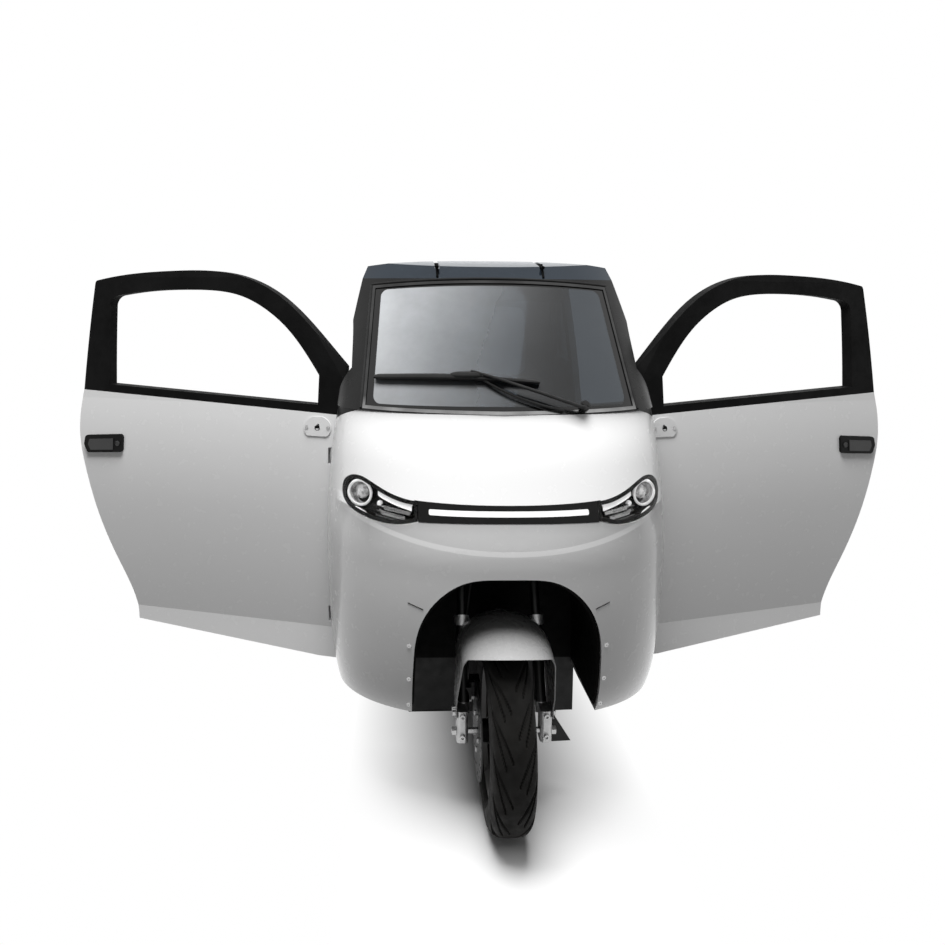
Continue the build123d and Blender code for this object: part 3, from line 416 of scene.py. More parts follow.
dress(fork_paint, "fork")
# The white guard is painted a mid grey, about half the white of the body: painted shade of the arch over
# it.
guard_painted_shade = finish("guard_painted_shade", 0.37, 0.355, patch=3, rough=(0.25, 0.3), grain=500, depth=0.004,
                     film=0.04, Coat_Weight=0.3, Coat_Roughness=0.1)
dress(guard_painted_shade, "front_mudguard")
screws = []
socket_head = [(0, 0), (0, 0.0075), (0.007, 0.0075), (0.0078, 0.0068), (0.0078, 0.004), (0.003, 0.0036),
               (0.003, 0)]
for side in (-1, 1):
    for aft in (-0.004, 0.022):
        screws.append(spin(socket_head, (side * 0.1338, front_axle_y + aft, 0.303), (side, 0, 0), 18))
    for z in (0.301, 0.243):
        screws.append(spin(socket_head, (side * 0.1147, front_axle_y - 0.0182, z), (0, -1, 0), 18))
piece("fork_screws", screws, steel, "steering")
# A black rubber mud flap hangs low and wide behind the front wheel to fill the arch with black: partly a
# real flap, partly painted shade under the body.
shade_flap_x = np.linspace(-0.26, 0.26, 24)
flap = []
for z in np.linspace(0.322, 0.135, 12):
    wave = 0.003 * np.sin(shade_flap_x * 30) * (0.33 - z) / 0.2
    flap.append(np.concatenate([np.stack([shade_flap_x, -0.541 + wave, z + 0 * shade_flap_x], 1),
                                np.stack([shade_flap_x[::-1], -0.537 + wave[::-1], z + 0 * shade_flap_x], 1)]))
piece("mud_flap_painted_shade", [loft(*flap)], hose_rubber, "body")
hose = [(-0.098, -0.746, 0.352), (-0.101, -0.725, 0.372), (-0.1, -0.716, 0.45), (-0.085, -0.672, 0.56),
        (-0.06, -0.62, 0.68)]
piece("brake_hose", [tube(curve(hose, 40), 0.0035, 10)], hose_rubber, "steering")


# ---- Handlebar ----------------------------------------------------------------------------------
# Steel bar with ribbed grips, a lever on each side and an instrument pod in the middle.
bar_paint = finish("bar_paint", 0.012, 0.02, rough=(0.3, 0.45), shine=0.4)
dress(bar_paint, "handlebar")
rubber = finish("rubber", 0.014, 0.022, rough=(0.6, 0.8), grain=500, depth=0.2, shine=0.2)
dress(rubber, "handlebar_grips")
ribs, levers = [], []
for side in (-1, 1):
    inner, outer = on_stem(0.8226, side * 0.196, -0.0255), on_stem(0.824, side * 0.303, -0.061)
    axis = outer - inner
    for share in np.linspace(0.12, 0.88, 11):
        ribs.append(spin([(-0.0022, 0.0165), (-0.001, 0.0183), (0.001, 0.0183), (0.0022, 0.0165)],
                         inner + axis * share, axis, 28))
    lever = [on_stem(0.8126, side * 0.165, -0.004), on_stem(0.806, side * 0.19, 0.004),
             on_stem(0.803, side * 0.235, -0.006), on_stem(0.803, side * 0.285, -0.030)]
    levers.append(tube(curve(lever, 24), np.linspace(0.0075, 0.0055, 24), 12, 0.6))
    clamp = on_stem(0.8175, side * 0.155, -0.009)
    levers.append(spin([(-0.011, 0), (-0.011, 0.016), (0.011, 0.016), (0.011, 0)], clamp, axis, 24))
piece("grip_ribs", ribs, rubber, "steering")
piece("brake_levers", levers, bar_paint, "steering")
angle = np.linspace(0, 2 * np.pi, 48, endpoint=False)
bulge = [np.sign(wave) * np.abs(wave) ** 0.5 for wave in (np.cos(angle), np.sin(angle))]
pod_centre = on_stem(0.842, 0, 0.01)
pod_right, pod_fore = np.array([1.0, 0, 0]), stem_forward
ring = bulge[0][:, None] * pod_right, bulge[1][:, None] * pod_fore


def pod_rings(*sizes):
    """Rounded rings of the pod, each at (height, half width, half depth)."""
    return [pod_centre + stem_up * h + a * ring[0] + b * ring[1] for h, a, b in sizes]


pod = pod_rings((-0.018, 0.05, 0.03), (-0.016, 0.066, 0.04), (0.006, 0.075, 0.045),
                (0.012, 0.072, 0.042), (0.012, 0.064, 0.035), (0.0095, 0.062, 0.033))
piece("instrument_pod", [loft(*pod)], bar_paint, "steering")
face = pod_rings((0.0096, 0.061, 0.032), (0.0108, 0.061, 0.032), (0.0112, 0.058, 0.029))
screen_black = finish("screen_black", (0.004, 0.006, 0.009, 1), (0.006, 0.008, 0.012, 1),
                      rough=(0.04, 0.08), Coat_Weight=1.0)
piece("instrument_glass", [loft(*face)], screen_black, "steering")


# ---- White body panels --------------------------------------------------------------------------
# Moulded nose, sides, tail and door skins in white gloss over a clear coat with slight orange peel,
# fastened by countersunk screws at their lower corners.
def white_gloss(name):
    """White paint under clear coat, nearly even in colour."""
    return finish(name, 0.735, 0.72, patch=1.5, rough=(0.24, 0.28), grain=500, depth=0.004,
                  film=0.02, Coat_Weight=0.8, Coat_Roughness=0.05)


dress(white_gloss("white_paint"), "rear_panel", "quarter_panel_left", "quarter_panel_right",
      "door_skin_left", "door_skin_right")
# Under the light bar the nose breaks to nearly upright, along a soft crease that rises to the sides.
nose_paint = white_gloss("nose_paint")
tree = nose_paint.node_tree
place = here(tree)
across, _, height = axes(tree, place)
aside = calc(tree, "ABSOLUTE", across)
rise = calc(tree, "MAXIMUM", calc(tree, "SUBTRACT", calc(tree, "MINIMUM", height, 0.858), 0.70), 0.0)
rise = calc(tree, "MULTIPLY", calc(tree, "POWER", rise, 3.0), 7.5)
rise = calc(tree, "MULTIPLY", rise, ramp(tree, height, 0.860, 0.886, 1, 0))
crease = calc(tree, "ADD", calc(tree, "MULTIPLY", calc(tree, "MULTIPLY", aside, aside), 0.36), 0.775)
facet = ramp(tree, calc(tree, "SUBTRACT", height, crease), 0.0, 0.013, 0, 0.0014)
rise = calc(tree, "MULTIPLY", calc(tree, "SUBTRACT", rise, facet), ramp(tree, aside, 0.37, 0.475, 1, 0))
shader = tree.nodes["Principled BSDF"]
bump = add(tree, "Bump", Height=rise, Strength=1.0, Distance=1.0,
           Normal=tree.nodes["Bump"].outputs["Normal"])
feed(shader, "Normal", bump.outputs["Normal"])
feed(shader, "Coat Normal", bump.outputs["Normal"])
dress(nose_paint, "nose_panel")
nose_back = -0.5135
nose_heights = np.array([290, 370, 450, 535, 625, 715, 800, 880, 960, 1035, 1111]) / 1000
nose_fronts = front_axle_y + np.array([-20, -69, -91, -104, -111, -112, -100, -56, -6, 46, 98]) / 1000


def side_at(z):
    """Half width of the cabin side at a height below the belt."""
    fall = np.where(z > 0.74, 0.028, 0.015)
    return np.where(z < 0.385, 0.506 + (z - 0.29) * 0.046, 0.512 - fall * ((z - 0.74) / 0.35) ** 2)


def on_nose(x, z, out=0.0):
    """Points on the nose: at each height a blunt curve between the sides, out being the way forward
    of it. The front line runs smoothly through the heights."""
    line = curve(np.stack([nose_heights, nose_fronts], 1), 400)
    front = np.interp(z, line[:, 0], line[:, 1])
    share = np.clip(np.abs(x) / side_at(z), 0, 0.9995)
    y = nose_back - (nose_back - front) * (1 - share ** 2.3) ** (1 / 2.3) - out
    return np.stack([x + 0 * y, y, z + 0 * y], -1)


def cover(outline, near, far, rows=7):
    """A closed skin over an outline of (x, z) on the nose, from one depth behind it to another."""
    middle = outline.mean(0)
    shares = np.linspace(0.02, 1, rows)
    loops = [on_nose(*(middle + (outline - middle) * s).T, -near) for s in shares]
    loops += [on_nose(*(middle + (outline - middle) * s).T, -far) for s in shares[::-1]]
    return loft(*loops)


line = np.stack([np.linspace(0.226, 0.266, 24), np.linspace(0.627, 0.640, 24)])
seams = [tube(on_nose(*line, 0.0003), 0.0011, 6)]
seam_dark = finish("seam_dark", 0.01, 0.02, rough=(0.7, 0.9), shine=0.1)
pair("nose_seams", seams, seam_dark)
screws = []
countersunk = [(0, 0), (0, 0.0065), (0.0012, 0.0062), (0.0024, 0.0045), (0.0022, 0.0022), (0.0006, 0.002),
               (0.0006, 0)]
for x, z in ((0.262, 0.332), (0.262, 0.42), (0.262, 0.52)):
    spot = on_nose(x, z, 0.0005)
    screws.append(spin(countersunk, spot, (0.2, -1, 0), 16))
for z in (0.40, 0.47):
    screws.append(spin(countersunk, (side_at(z) + 0.0002, 0.27, z), (1, 0, 0), 16))
pair("panel_screws", screws, steel)


# ---- Roof and screen surround -------------------------------------------------------------------
# Vacuum-formed black panels with a high gloss, bedded on a rubber strip over the frame of the cabin.
# The blue tint of its reflections and clear coat is a painted sky reflection; the panels themselves are
# black.
black_gloss = finish("black_gloss", (0.006, 0.008, 0.011, 1), (0.009, 0.012, 0.016, 1), rough=(0.1, 0.2),
                     grain=90, depth=0.015, Coat_Weight=0.2, Coat_Roughness=0.04,
                     Specular_Tint=(0.7, 0.84, 1.0, 1), Coat_Tint=(0.8, 0.9, 1.0, 1))
dress(black_gloss, "roof")
screen_half, screen_bulge, screen_foot, screen_lean = 0.485, 0.2325, 1.111, 0.341 / 0.365
groove_z = np.linspace(1.5035, 1.5485, 10)
lines = []
for x in (-0.173, 0.173):
    share = (1 - (abs(x) / screen_half) ** 2.3) ** (1 / 2.3)
    face_y = nose_back - screen_bulge * share + (groove_z - screen_foot) * screen_lean - 0.0004
    lines.append(tube(np.stack([x + 0 * groove_z, face_y, groove_z], 1), 0.0042, 8))
    along = np.array([[-0.362, 1.5415], [-0.29, 1.5495], [-0.2, 1.5565], [0.056, 1.5655], [0.25, 1.5575],
                      [0.38, 1.546]])
    path = curve(along, 60)
    lines.append(tube(np.stack([x + 0 * path[:, 0], path[:, 0], path[:, 1] - 0.004], 1), 0.0055, 8))
groove_rubber = finish("groove_rubber", 0.003, 0.006, rough=(0.7, 0.85), shine=0.03)
piece("roof_grooves", lines, groove_rubber, "body")
surround_black = finish("surround_black", 0.005, 0.008, rough=(0.25, 0.35), grain=90, depth=0.02, shine=0.2)
dress(surround_black, "screen_surround")
black_matte = finish("black_matte", 0.003, 0.006, rough=(0.5, 0.7), grain=700, depth=0.25, film=0.02,
                     shine=0.06)
dress(black_matte, "door_window_frame_left", "door_window_frame_right", "front_wheel_liner", "dashboard",
      "rear_wheelhouses", "rear_bumper")


# ---- Windscreen, its seal and the other glass ---------------------------------------------------
# Laminated curved screen with a printed black border, a thin film of dust with a painted glare that
# grows towards the upper left, a rubber seal and a bright strip; toughened tinted panes at the sides
# and the rear.
glass, tree, shader = blank("windscreen_glass", Transmission_Weight=1.0, IOR=1.45, Roughness=0.012)
place = here(tree)
across, _, height = axes(tree, place)
aside = calc(tree, "ABSOLUTE", across)
clear_half, clear_foot, clear_top, corner_radius = 0.370, 1.131, 1.4765, 0.022
pane_foot, side_slope = 1.117, 0.0446
edge = calc(tree, "MULTIPLY", height, side_slope)
edge = calc(tree, "SUBTRACT", clear_half + side_slope * pane_foot, edge)
bow = calc(tree, "MULTIPLY", calc(tree, "MULTIPLY", aside, aside), 0.12)
past_side = calc(tree, "SUBTRACT", aside, calc(tree, "SUBTRACT", edge, corner_radius))
past_side = calc(tree, "MAXIMUM", past_side, 0.0)
past_top = calc(tree, "SUBTRACT", calc(tree, "ADD", height, bow), clear_top - corner_radius)
past_foot = calc(tree, "SUBTRACT", clear_foot + corner_radius, height)
past_end = calc(tree, "MAXIMUM", calc(tree, "MAXIMUM", past_top, past_foot), 0.0)
corner = calc(tree, "SQRT", calc(tree, "ADD", calc(tree, "MULTIPLY", past_side, past_side),
                                 calc(tree, "MULTIPLY", past_end, past_end)))
border = ramp(tree, corner, 0.0215, 0.0225, 0, 1)
feed(shader, "Base Color", mix(tree, border, (0.035, 0.044, 0.054, 1), grey(0.004)))
feed(shader, "Transmission Weight", calc(tree, "SUBTRACT", 1.0, border))
# Dust and painted glare: a pale diffuse film, thin all over the clear glass, that grows thick towards the
# upper left to paint the glare there.
slant = calc(tree, "ADD", across, calc(tree, "MULTIPLY", height, -0.35))
dust_and_glare = ramp(tree, slant, -0.85, -0.2, 0.68, 0.0)
dust_and_glare = calc(tree, "ADD", calc(tree, "MULTIPLY", dust_and_glare, dust_and_glare), 0.015)
dust_and_glare = calc(tree, "MULTIPLY", dust_and_glare, ramp(tree, noise(tree, place, 4, 6, 0.6), 0.3, 0.7, 0.75, 1.1))
dust_and_glare = calc(tree, "MULTIPLY", dust_and_glare, calc(tree, "SUBTRACT", 1.0, border))
film = add(tree, "BsdfDiffuse", Color=(0.72, 0.74, 0.76, 1)).outputs[0]
both = add(tree, "MixShader", Fac=dust_and_glare, i1=shader.outputs[0], i2=film)
tree.links.new(both.outputs[0], tree.nodes["Material Output"].inputs["Surface"])
dress(glass, "windscreen")
pane, tree, shader = blank("tinted_glass", Transmission_Weight=1.0, IOR=1.45, Roughness=0.01)
place = here(tree)
smear = ramp(tree, noise(tree, place, 5, 5), 0.4, 0.8, 0, 0.2)
feed(shader, "Base Color", mix(tree, smear, (0.2, 0.22, 0.23, 1), (0.26, 0.27, 0.28, 1)))
dress(pane, "quarter_windows", "rear_window")
dark_strip, tree, shader = blank("dark_strip", Metallic=1.0, Roughness=0.22)
place = here(tree)
low_part = ramp(tree, axes(tree, place)[2], 1.12, 1.15, 0.32, 0.07)
feed(shader, "Base Color",
     calc(tree, "MULTIPLY", low_part, ramp(tree, noise(tree, place, 12, 4), 0.3, 0.7, 0.7, 1.2)))
dress(dark_strip, "windscreen_trim")


def on_screen(x, z, out=0.0):
    """Points on the windscreen: a blunt curve that leans back with height, out being the way forward."""
    plan = (1 - np.clip(np.abs(x) / screen_half, 0, 0.999) ** 2.3) ** (1 / 2.3)
    y = nose_back - screen_bulge * plan + (z - screen_foot) * screen_lean - out
    return np.stack([x + 0 * y, y, z + 0 * y], -1)


side_z = np.linspace(pane_foot, 1.476, 40)
side_x = 0.4045 - side_slope * (side_z - pane_foot)
top_x = np.linspace(-0.3885, 0.3885, 60)
seal = [tube(on_screen(turned * side_x, side_z, 0.0015), 0.0042, 8) for turned in (1, -1)]
seal.append(tube(on_screen(top_x, 1.4995 - 0.134 * top_x ** 2, 0.001), 0.0042, 8))
piece("windscreen_seal", seal, rubber, "body")
wipe_black = finish("wipe_black", 0.008, 0.014, rough=(0.4, 0.6), shine=0.3)
arm = np.array([[0.236, 1.129], [0.205, 1.139], [0.105, 1.172], [0.0, 1.204], [-0.085, 1.227]])
arm = curve(arm, 30)
arm_off = np.interp(np.linspace(0, 1, 30), [0, 0.15, 0.6, 1], [0.012, 0.03, 0.036, 0.026])
arm_path = on_screen(arm[:, 0], arm[:, 1], arm_off)
blade_x = np.linspace(-0.366, 0.112, 50)
blade_z = 1.2035 + 0.0085 * np.sin((blade_x + 0.366) / 0.478 * np.pi) - 0.008 * (blade_x + 0.366) / 0.478
wiper = [tube(arm_path, np.linspace(0.0105, 0.0075, 30), 12, 0.55)]
blade_thick = np.interp(np.linspace(0, 1, 50), [0, 0.03, 0.42, 0.6, 0.97, 1],
                        [0.009, 0.014, 0.0165, 0.0125, 0.0105, 0.006])
wiper.append(tube(on_screen(blade_x, blade_z, 0.013), blade_thick, 12, 0.62))
wiper.append(tube(on_screen(blade_x, blade_z - 0.002, 0.0055), 0.0032, 8, 1.3))
bridge_x = np.linspace(-0.145, -0.055, 12)
bridge_thick = np.interp(np.linspace(0, 1, 12), [0, 0.2, 0.8, 1], [0.01, 0.0185, 0.0185, 0.01])
wiper.append(tube(on_screen(bridge_x, 1.2145 + 0 * bridge_x, 0.019), bridge_thick, 12, 0.6))
pivot = on_screen(0.236, 1.129, 0.0)
wiper.append(spin([(-0.012, 0), (-0.012, 0.014), (0.014, 0.0135), (0.02, 0.009), (0.021, 0)], pivot,
                  (0, -0.73, 0.68), 24))
link = curve(np.array([[0.172, 1.124], [0.11, 1.137], [0.02, 1.166], [-0.06, 1.206]]), 24)
wiper.append(tube(on_screen(link[:, 0], link[:, 1], 0.013), 0.0035, 8))
piece("wiper", wiper, wipe_black, "body")


# ---- Headlamps ----------------------------------------------------------------------------------
# Clear cover over a black bowl: a projector in a bright ring, a white light guide, ribbed dark
# reflectors under it and a small marker strip at the outer corner.
rim_points = np.array([[240, 849], [266, 842], [300, 836], [345, 836], [394, 843], [428, 854], [447, 871],
                       [453, 895], [445, 923], [424, 938], [398, 940], [370, 931], [330, 914], [285, 901],
                       [240, 896]]) / 1000
rim = np.concatenate([curve(rim_points, 120), [[0.24, 0.886], [0.24, 0.873], [0.24, 0.86]]])


def shrunk(outline, gap):
    """An outline moved inwards by a gap along its own normals."""
    ahead = np.roll(outline, -1, 0) - np.roll(outline, 1, 0)
    ahead /= np.linalg.norm(ahead, axis=1)[:, None]
    return outline + gap * np.stack([-ahead[:, 1], ahead[:, 0]], 1)


def straight(corners, steps=10):
    """An outline with straight sides, each cut into equal steps."""
    ends = zip(corners, np.roll(corners, -1, 0))
    return np.concatenate([np.linspace(a, b, steps, endpoint=False) for a, b in ends])


def band(outline, gap, near, far):
    """A closed frame on the nose between an outline and the same outline shrunk by a gap."""
    inner = shrunk(outline, gap)
    loops = [on_nose(*outline.T, -near), on_nose(*inner.T, -near), on_nose(*inner.T, -far),
             on_nose(*outline.T, -far)]
    return closed(loops + loops[:1])


clear, tree, shader = blank("lamp_cover", Transmission_Weight=1.0, IOR=1.08, Roughness=0.0)
place = here(tree)
haze = ramp(tree, noise(tree, place, 30, 4), 0.4, 0.7, 0, 1)
feed(shader, "Base Color", mix(tree, haze, grey(0.97), grey(0.9)))
lamp_black = finish("lamp_black", 0.003, 0.006, rough=(0.25, 0.4), grain=200, shine=0.14)
lamp_chrome = finish("lamp_chrome", 0.8, 0.7, rough=(0.05, 0.12), grain=300, depth=0.01, Metallic=1.0)
dark_chrome = finish("dark_chrome", 0.16, 0.3, rough=(0.15, 0.3), grain=200, Metallic=0.9)
guide_white = finish("guide_white", 0.85, 0.78, rough=(0.3, 0.45), grain=500, Emission_Color=grey(1.0),
                     Emission_Strength=0.12)
outer_side = shrunk(rim, 0.0015)
lens = [cover(outer_side, -0.0012, 0.0012)]
thing = pair("headlamp_covers", lens, clear)
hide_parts("headlamps")
deep = 0.058
wall_loops = [on_nose(*outer_side.T, -0.0016), on_nose(*shrunk(rim, 0.003).T, -0.0016),
              on_nose(*shrunk(rim, 0.006).T, -deep + 0.003)]
wall_loops += [on_nose(*(rim.mean(0) + (shrunk(rim, 0.006) - rim.mean(0)) * s).T, -deep + 0.003)
               for s in (0.66, 0.33)]
back_loops = [on_nose(*(rim.mean(0) + (outer_side - rim.mean(0)) * s).T, -deep) for s in (0.33, 0.66, 1)]
floor_loop = wall_loops[-1].mean(0) + 0 * wall_loops[0]
bowl = [closed(wall_loops + [floor_loop] + back_loops + wall_loops[:1])]
pair("headlamp_bowls", bowl, lamp_black)
edge_ring = [band(shrunk(rim, 0.003), 0.0075, 0.0018, 0.0045)]
pair("headlamp_rims", edge_ring, lamp_black)
centre = np.array([0.399, -0.742, 0.8915])
facing = np.array([0.42, -1.0, 0.02])
bezel = [(-0.03, 0.0), (-0.03, 0.03), (-0.006, 0.039), (0.004, 0.0393), (0.006, 0.0373), (0.003, 0.0325),
         (-0.014, 0.0265), (-0.022, 0.02), (-0.024, 0.0)]
ring = [spin(bezel, centre, facing, 48)]
pair("projector_rings", ring, lamp_chrome)
halo = [spin([(0.0045, 0.0386), (0.0078, 0.038), (0.0088, 0.0345), (0.0072, 0.0312), (0.0035, 0.0308),
              (0.0045, 0.0386)], centre, facing, 48)]
pair("projector_halos", halo, guide_white)
dome = [spin([(-0.020, 0), (-0.020, 0.0225), (-0.012, 0.022), (-0.003, 0.0165), (0.001, 0.009), (0.002, 0)],
             centre, facing, 40)]
ball, tree, shader = blank("projector_lens", Transmission_Weight=0.35, IOR=1.5, Roughness=0.05,
                           Metallic=0.3)
place = here(tree)
facets = ramp(tree, noise(tree, place, 90, 3), 0.4, 0.6, 0, 1)
feed(shader, "Base Color", mix(tree, facets, grey(0.95), grey(0.35)))
pair("projector_lenses", dome, ball)
guide = curve(np.array([[0.257, 0.869], [0.300, 0.879], [0.342, 0.893], [0.349, 0.902], [0.342, 0.913],
                        [0.300, 0.9005], [0.257, 0.889], [0.2565, 0.879]]), 60)
strips = [cover(guide, 0.010, 0.016)]
marker = curve(np.array([[0.374, 0.846], [0.392, 0.8455], [0.408, 0.852], [0.413, 0.858], [0.400, 0.857],
                         [0.384, 0.8525]]), 40)
strips.append(cover(marker, 0.007, 0.012, 4))
spot_place = on_nose(0.343, 0.874, -0.03)
strips.append(spin([(0, 0), (0, 0.0085), (0.004, 0.008), (0.007, 0.0055), (0.008, 0)], spot_place,
                   (0.2, -1, 0), 24))
pair("light_guides", strips, guide_white)
fins = []
for low, near, far in ((0.846, 0.276, 0.337), (0.8585, 0.262, 0.33)):
    lean = np.array([[near, low], [far, low + 0.006], [far + 0.008, low + 0.0165],
                     [near - 0.002, low + 0.0085]])
    fins.append(cover(straight(lean, 12), 0.012, 0.022, 5))
for step in range(3):
    x = np.linspace(0.280 + 0.004 * step, 0.352, 24)
    fins.append(tube(on_nose(x, 0.8405 + 0.0115 * step + 0.10 * (x - 0.262), -0.010), 0.0012, 6))
pair("lamp_fins", fins, dark_chrome)
diffuser = finish("light_diffuser", 0.82, 0.76, rough=(0.3, 0.4), grain=400, Emission_Color=grey(1.0),
                  Emission_Strength=0.1)
dress(diffuser, "light_strip")
dress(lamp_black, "light_bar")


# ---- Doors --------------------------------------------------------------------------------------
# Each swings on two pins: a grab handle with a flap and a lock barrel, a mirror plate with two screws
# round its socket, and on the inner face a trim card with a pocket and a pull.
hinge = np.array([0.504, -0.490, 0.0])
opened = math.radians(75)
swing = np.array([[math.cos(opened), math.sin(opened), 0], [-math.sin(opened), math.cos(opened), 0],
                  [0, 0, 1]])


def on_door(s, z, out=0.0):
    """Points on the open left door: s is the way behind the hinge, out the way off its outer face."""
    shut = np.stack([side_at(z) + out + 0 * s, hinge[1] + s + 0 * z, z + 0 * s], -1)
    return (shut - hinge) @ swing.T + hinge


outward = swing @ np.array([1.0, 0, 0])
handle_black = finish("handle_black", 0.003, 0.005, rough=(0.3, 0.45), grain=600, depth=0.12, shine=0.12)
# The flap and the lock barrel are a lighter grey than the black handle: on the flap this is a painted
# highlight along the lever.
lever_black = finish("lever_black", 0.03, 0.04, rough=(0.3, 0.4), grain=600, depth=0.1, shine=0.4)
dress(handle_black, "door_handle_left", "door_handle_right")
plate_paint = finish("plate_paint", 0.70, 0.68, rough=(0.25, 0.35), grain=400, depth=0.01, Coat_Weight=0.5)
dress(plate_paint, "mirror_base_plate_left", "mirror_base_plate_right")


def slab(points, near, far, rows=4):
    """A closed pad on the door over an outline of (s, z)."""
    points = np.asarray(points, float)
    middle = points.mean(0)
    shares = np.linspace(0.05, 1, rows)
    loops = [on_door(*(middle + (points - middle) * s).T, far) for s in shares]
    loops += [on_door(*(middle + (points - middle) * s).T, near) for s in shares[::-1]]
    return loft(*loops)


flap = slab([(0.776, 0.921), (0.862, 0.916), (0.872, 0.934), (0.868, 0.952), (0.776, 0.958)], 0.0085,
            0.0125)
lock = spin([(0, 0), (0, 0.0085), (0.0035, 0.0085), (0.0045, 0.007), (0.003, 0.0062), (0.003, 0)],
            on_door(0.76, 0.942, 0.009), outward, 24)
screws = [spin(countersunk, on_door(s, 1.026, 0.0033), outward, 16) for s in (0.016, 0.088)]
socket = spin([(0, 0), (0, 0.0085), (0.0012, 0.0085), (0.0012, 0.007), (0.0003, 0.0065), (0.0003, 0)],
              on_door(0.052, 1.026, 0.0033), outward, 24)
low = np.array([(0.05, 0.36), (0.66, 0.40), (0.70, 0.47), (0.79, 0.66), (0.845, 0.80), (0.862, 0.93),
                (0.862, 1.035), (0.05, 1.005)])
pocket = np.array([(0.2, 0.44), (0.6, 0.455), (0.63, 0.60), (0.19, 0.585)])
bow = [(0.62, 0.83), (0.625, 0.85), (0.70, 0.905), (0.78, 0.925), (0.80, 0.915)]
pull = on_door(*curve(bow, 24).T)
pull = pull - outward * (0.049 + 0.022 * np.sin(np.linspace(0, np.pi, 24)))[:, None]
fitted = (("handle_flap", [flap], lever_black, "black_matte"),
          ("lock_barrel", [lock], lever_black, "chrome_trim"),
          ("mirror_screws", screws, steel, "steel"),
          ("mirror_socket", [socket], handle_black, "black_matte"),
          ("door_card", [slab(straight(low), -0.0425, -0.0465, 9)], black_matte, "black_matte"),
          ("door_pocket", [slab(straight(pocket), -0.0465, -0.062, 4)], handle_black, "black_matte"),
          ("door_pull", [tube(pull, 0.009, 12)], handle_black, "black_matte"))
for side in ("left", "right"):
    for part, grids, material, slot in fitted:
        grids = grids if side == "left" else mirrored(grids)
        piece(f"{part}_{side}", grids, material, f"door_{side}")


# ---- Tail ---------------------------------------------------------------------------------------
# Red lamp units with moulded ribs, an amber and a clear field, reflectors and plate screws.
tail_red = finish("tail_red", (0.34, 0.006, 0.008, 1), (0.27, 0.004, 0.006, 1), rough=(0.12, 0.2),
                  shine=0.2)
dress(tail_red, "tail_lamps")
rib_x = np.linspace(0.362, 0.448, 24)
rib_y = np.interp(rib_x, [0.35, 0.392, 0.405, 0.42, 0.44, 0.456],
                  [1.081, 1.081, 1.0795, 1.0742, 1.0642, 1.0535])


def lens_ribs(low, high, lean=0.0):
    """Four level ribs that follow the lens round its corner, between two heights."""
    return [tube(np.stack([rib_x, rib_y - lean, z + 0 * rib_x], 1), 0.0036, 8)
            for z in np.linspace(low, high, 4)]


reverse, amber = lens_ribs(0.665, 0.705), lens_ribs(0.79, 0.835, 0.0005)
amber_lens = finish("amber_lens", (0.6, 0.16, 0.01, 1), (0.5, 0.12, 0.01, 1), rough=(0.12, 0.2), shine=0.2)
pair("turn_ribs", amber, amber_lens)
clear_ribs = finish("clear_ribs", 0.6, 0.5, rough=(0.12, 0.2), shine=0.3)
pair("reverse_ribs", reverse, clear_ribs)
cap = [(0, 0), (0, 0.009), (0.003, 0.0085), (0.005, 0.005), (0.0055, 0)]
plate_screws = [spin(cap, (x, 1.0842, 0.625), (0, 1, 0), 20) for x in (-0.06, 0.06)]
piece("plate_screws", plate_screws, steel, "body")
disc = [(0, 0), (0, 0.026), (0.003, 0.026), (0.0045, 0.023), (0.005, 0)]
reflectors = [spin(disc, (0.3, 1.0912, 0.45), (0, 1, 0), 32)]
pair("rear_reflectors", reflectors, tail_red)


# ---- Cabin --------------------------------------------------------------------------------------
# Ribbed rubber floor, a battery in a grey case, and seats of foam under synthetic leather that is
# drawn in along channels.
battery_case = finish("battery_case", (0.05, 0.06, 0.09, 1), (0.04, 0.05, 0.07, 1), rough=(0.4, 0.5))
dress(battery_case, "battery")
floor_rubber = finish("floor_rubber", 0.015, 0.024, rough=(0.6, 0.8), grain=700, depth=0.2, shine=0.2)
dress(floor_rubber, "floor_pan")
ribs = []
for x in np.linspace(-0.40, 0.40, 33):
    y = np.linspace(-0.44, -0.06, 4)
    ribs.append(tube(np.stack([x + 0 * y, y, 0.3168 + 0 * y], 1), 0.0034, 6, 0.6))
piece("floor_ribs", ribs, floor_rubber, "body")
seat_cover, tree, shader = blank("seat_cover", Specular_IOR_Level=0.35)
place = here(tree)
pebble = add(tree, "TexVoronoi", Vector=place, Scale=420.0).outputs["Distance"]
wear = ramp(tree, noise(tree, place, 7, 5), 0.4, 0.65, 0, 1)
feed(shader, "Base Color", mix(tree, wear, grey(0.022), grey(0.034)))
feed(shader, "Roughness", ramp(tree, wear, 0, 1, 0.5, 0.66))
emboss(tree, shader, pebble, 0.25, 0.0008)
dress(seat_cover, "driver_seat_cushion", "driver_seat_backrest", "bench_cushion", "bench_backrest")


def points_of(mesh):
    """The corners of a mesh as an array (n, 3)."""
    points = np.empty(len(mesh.vertices) * 3)
    mesh.vertices.foreach_get("co", points)
    return points.reshape(-1, 3)


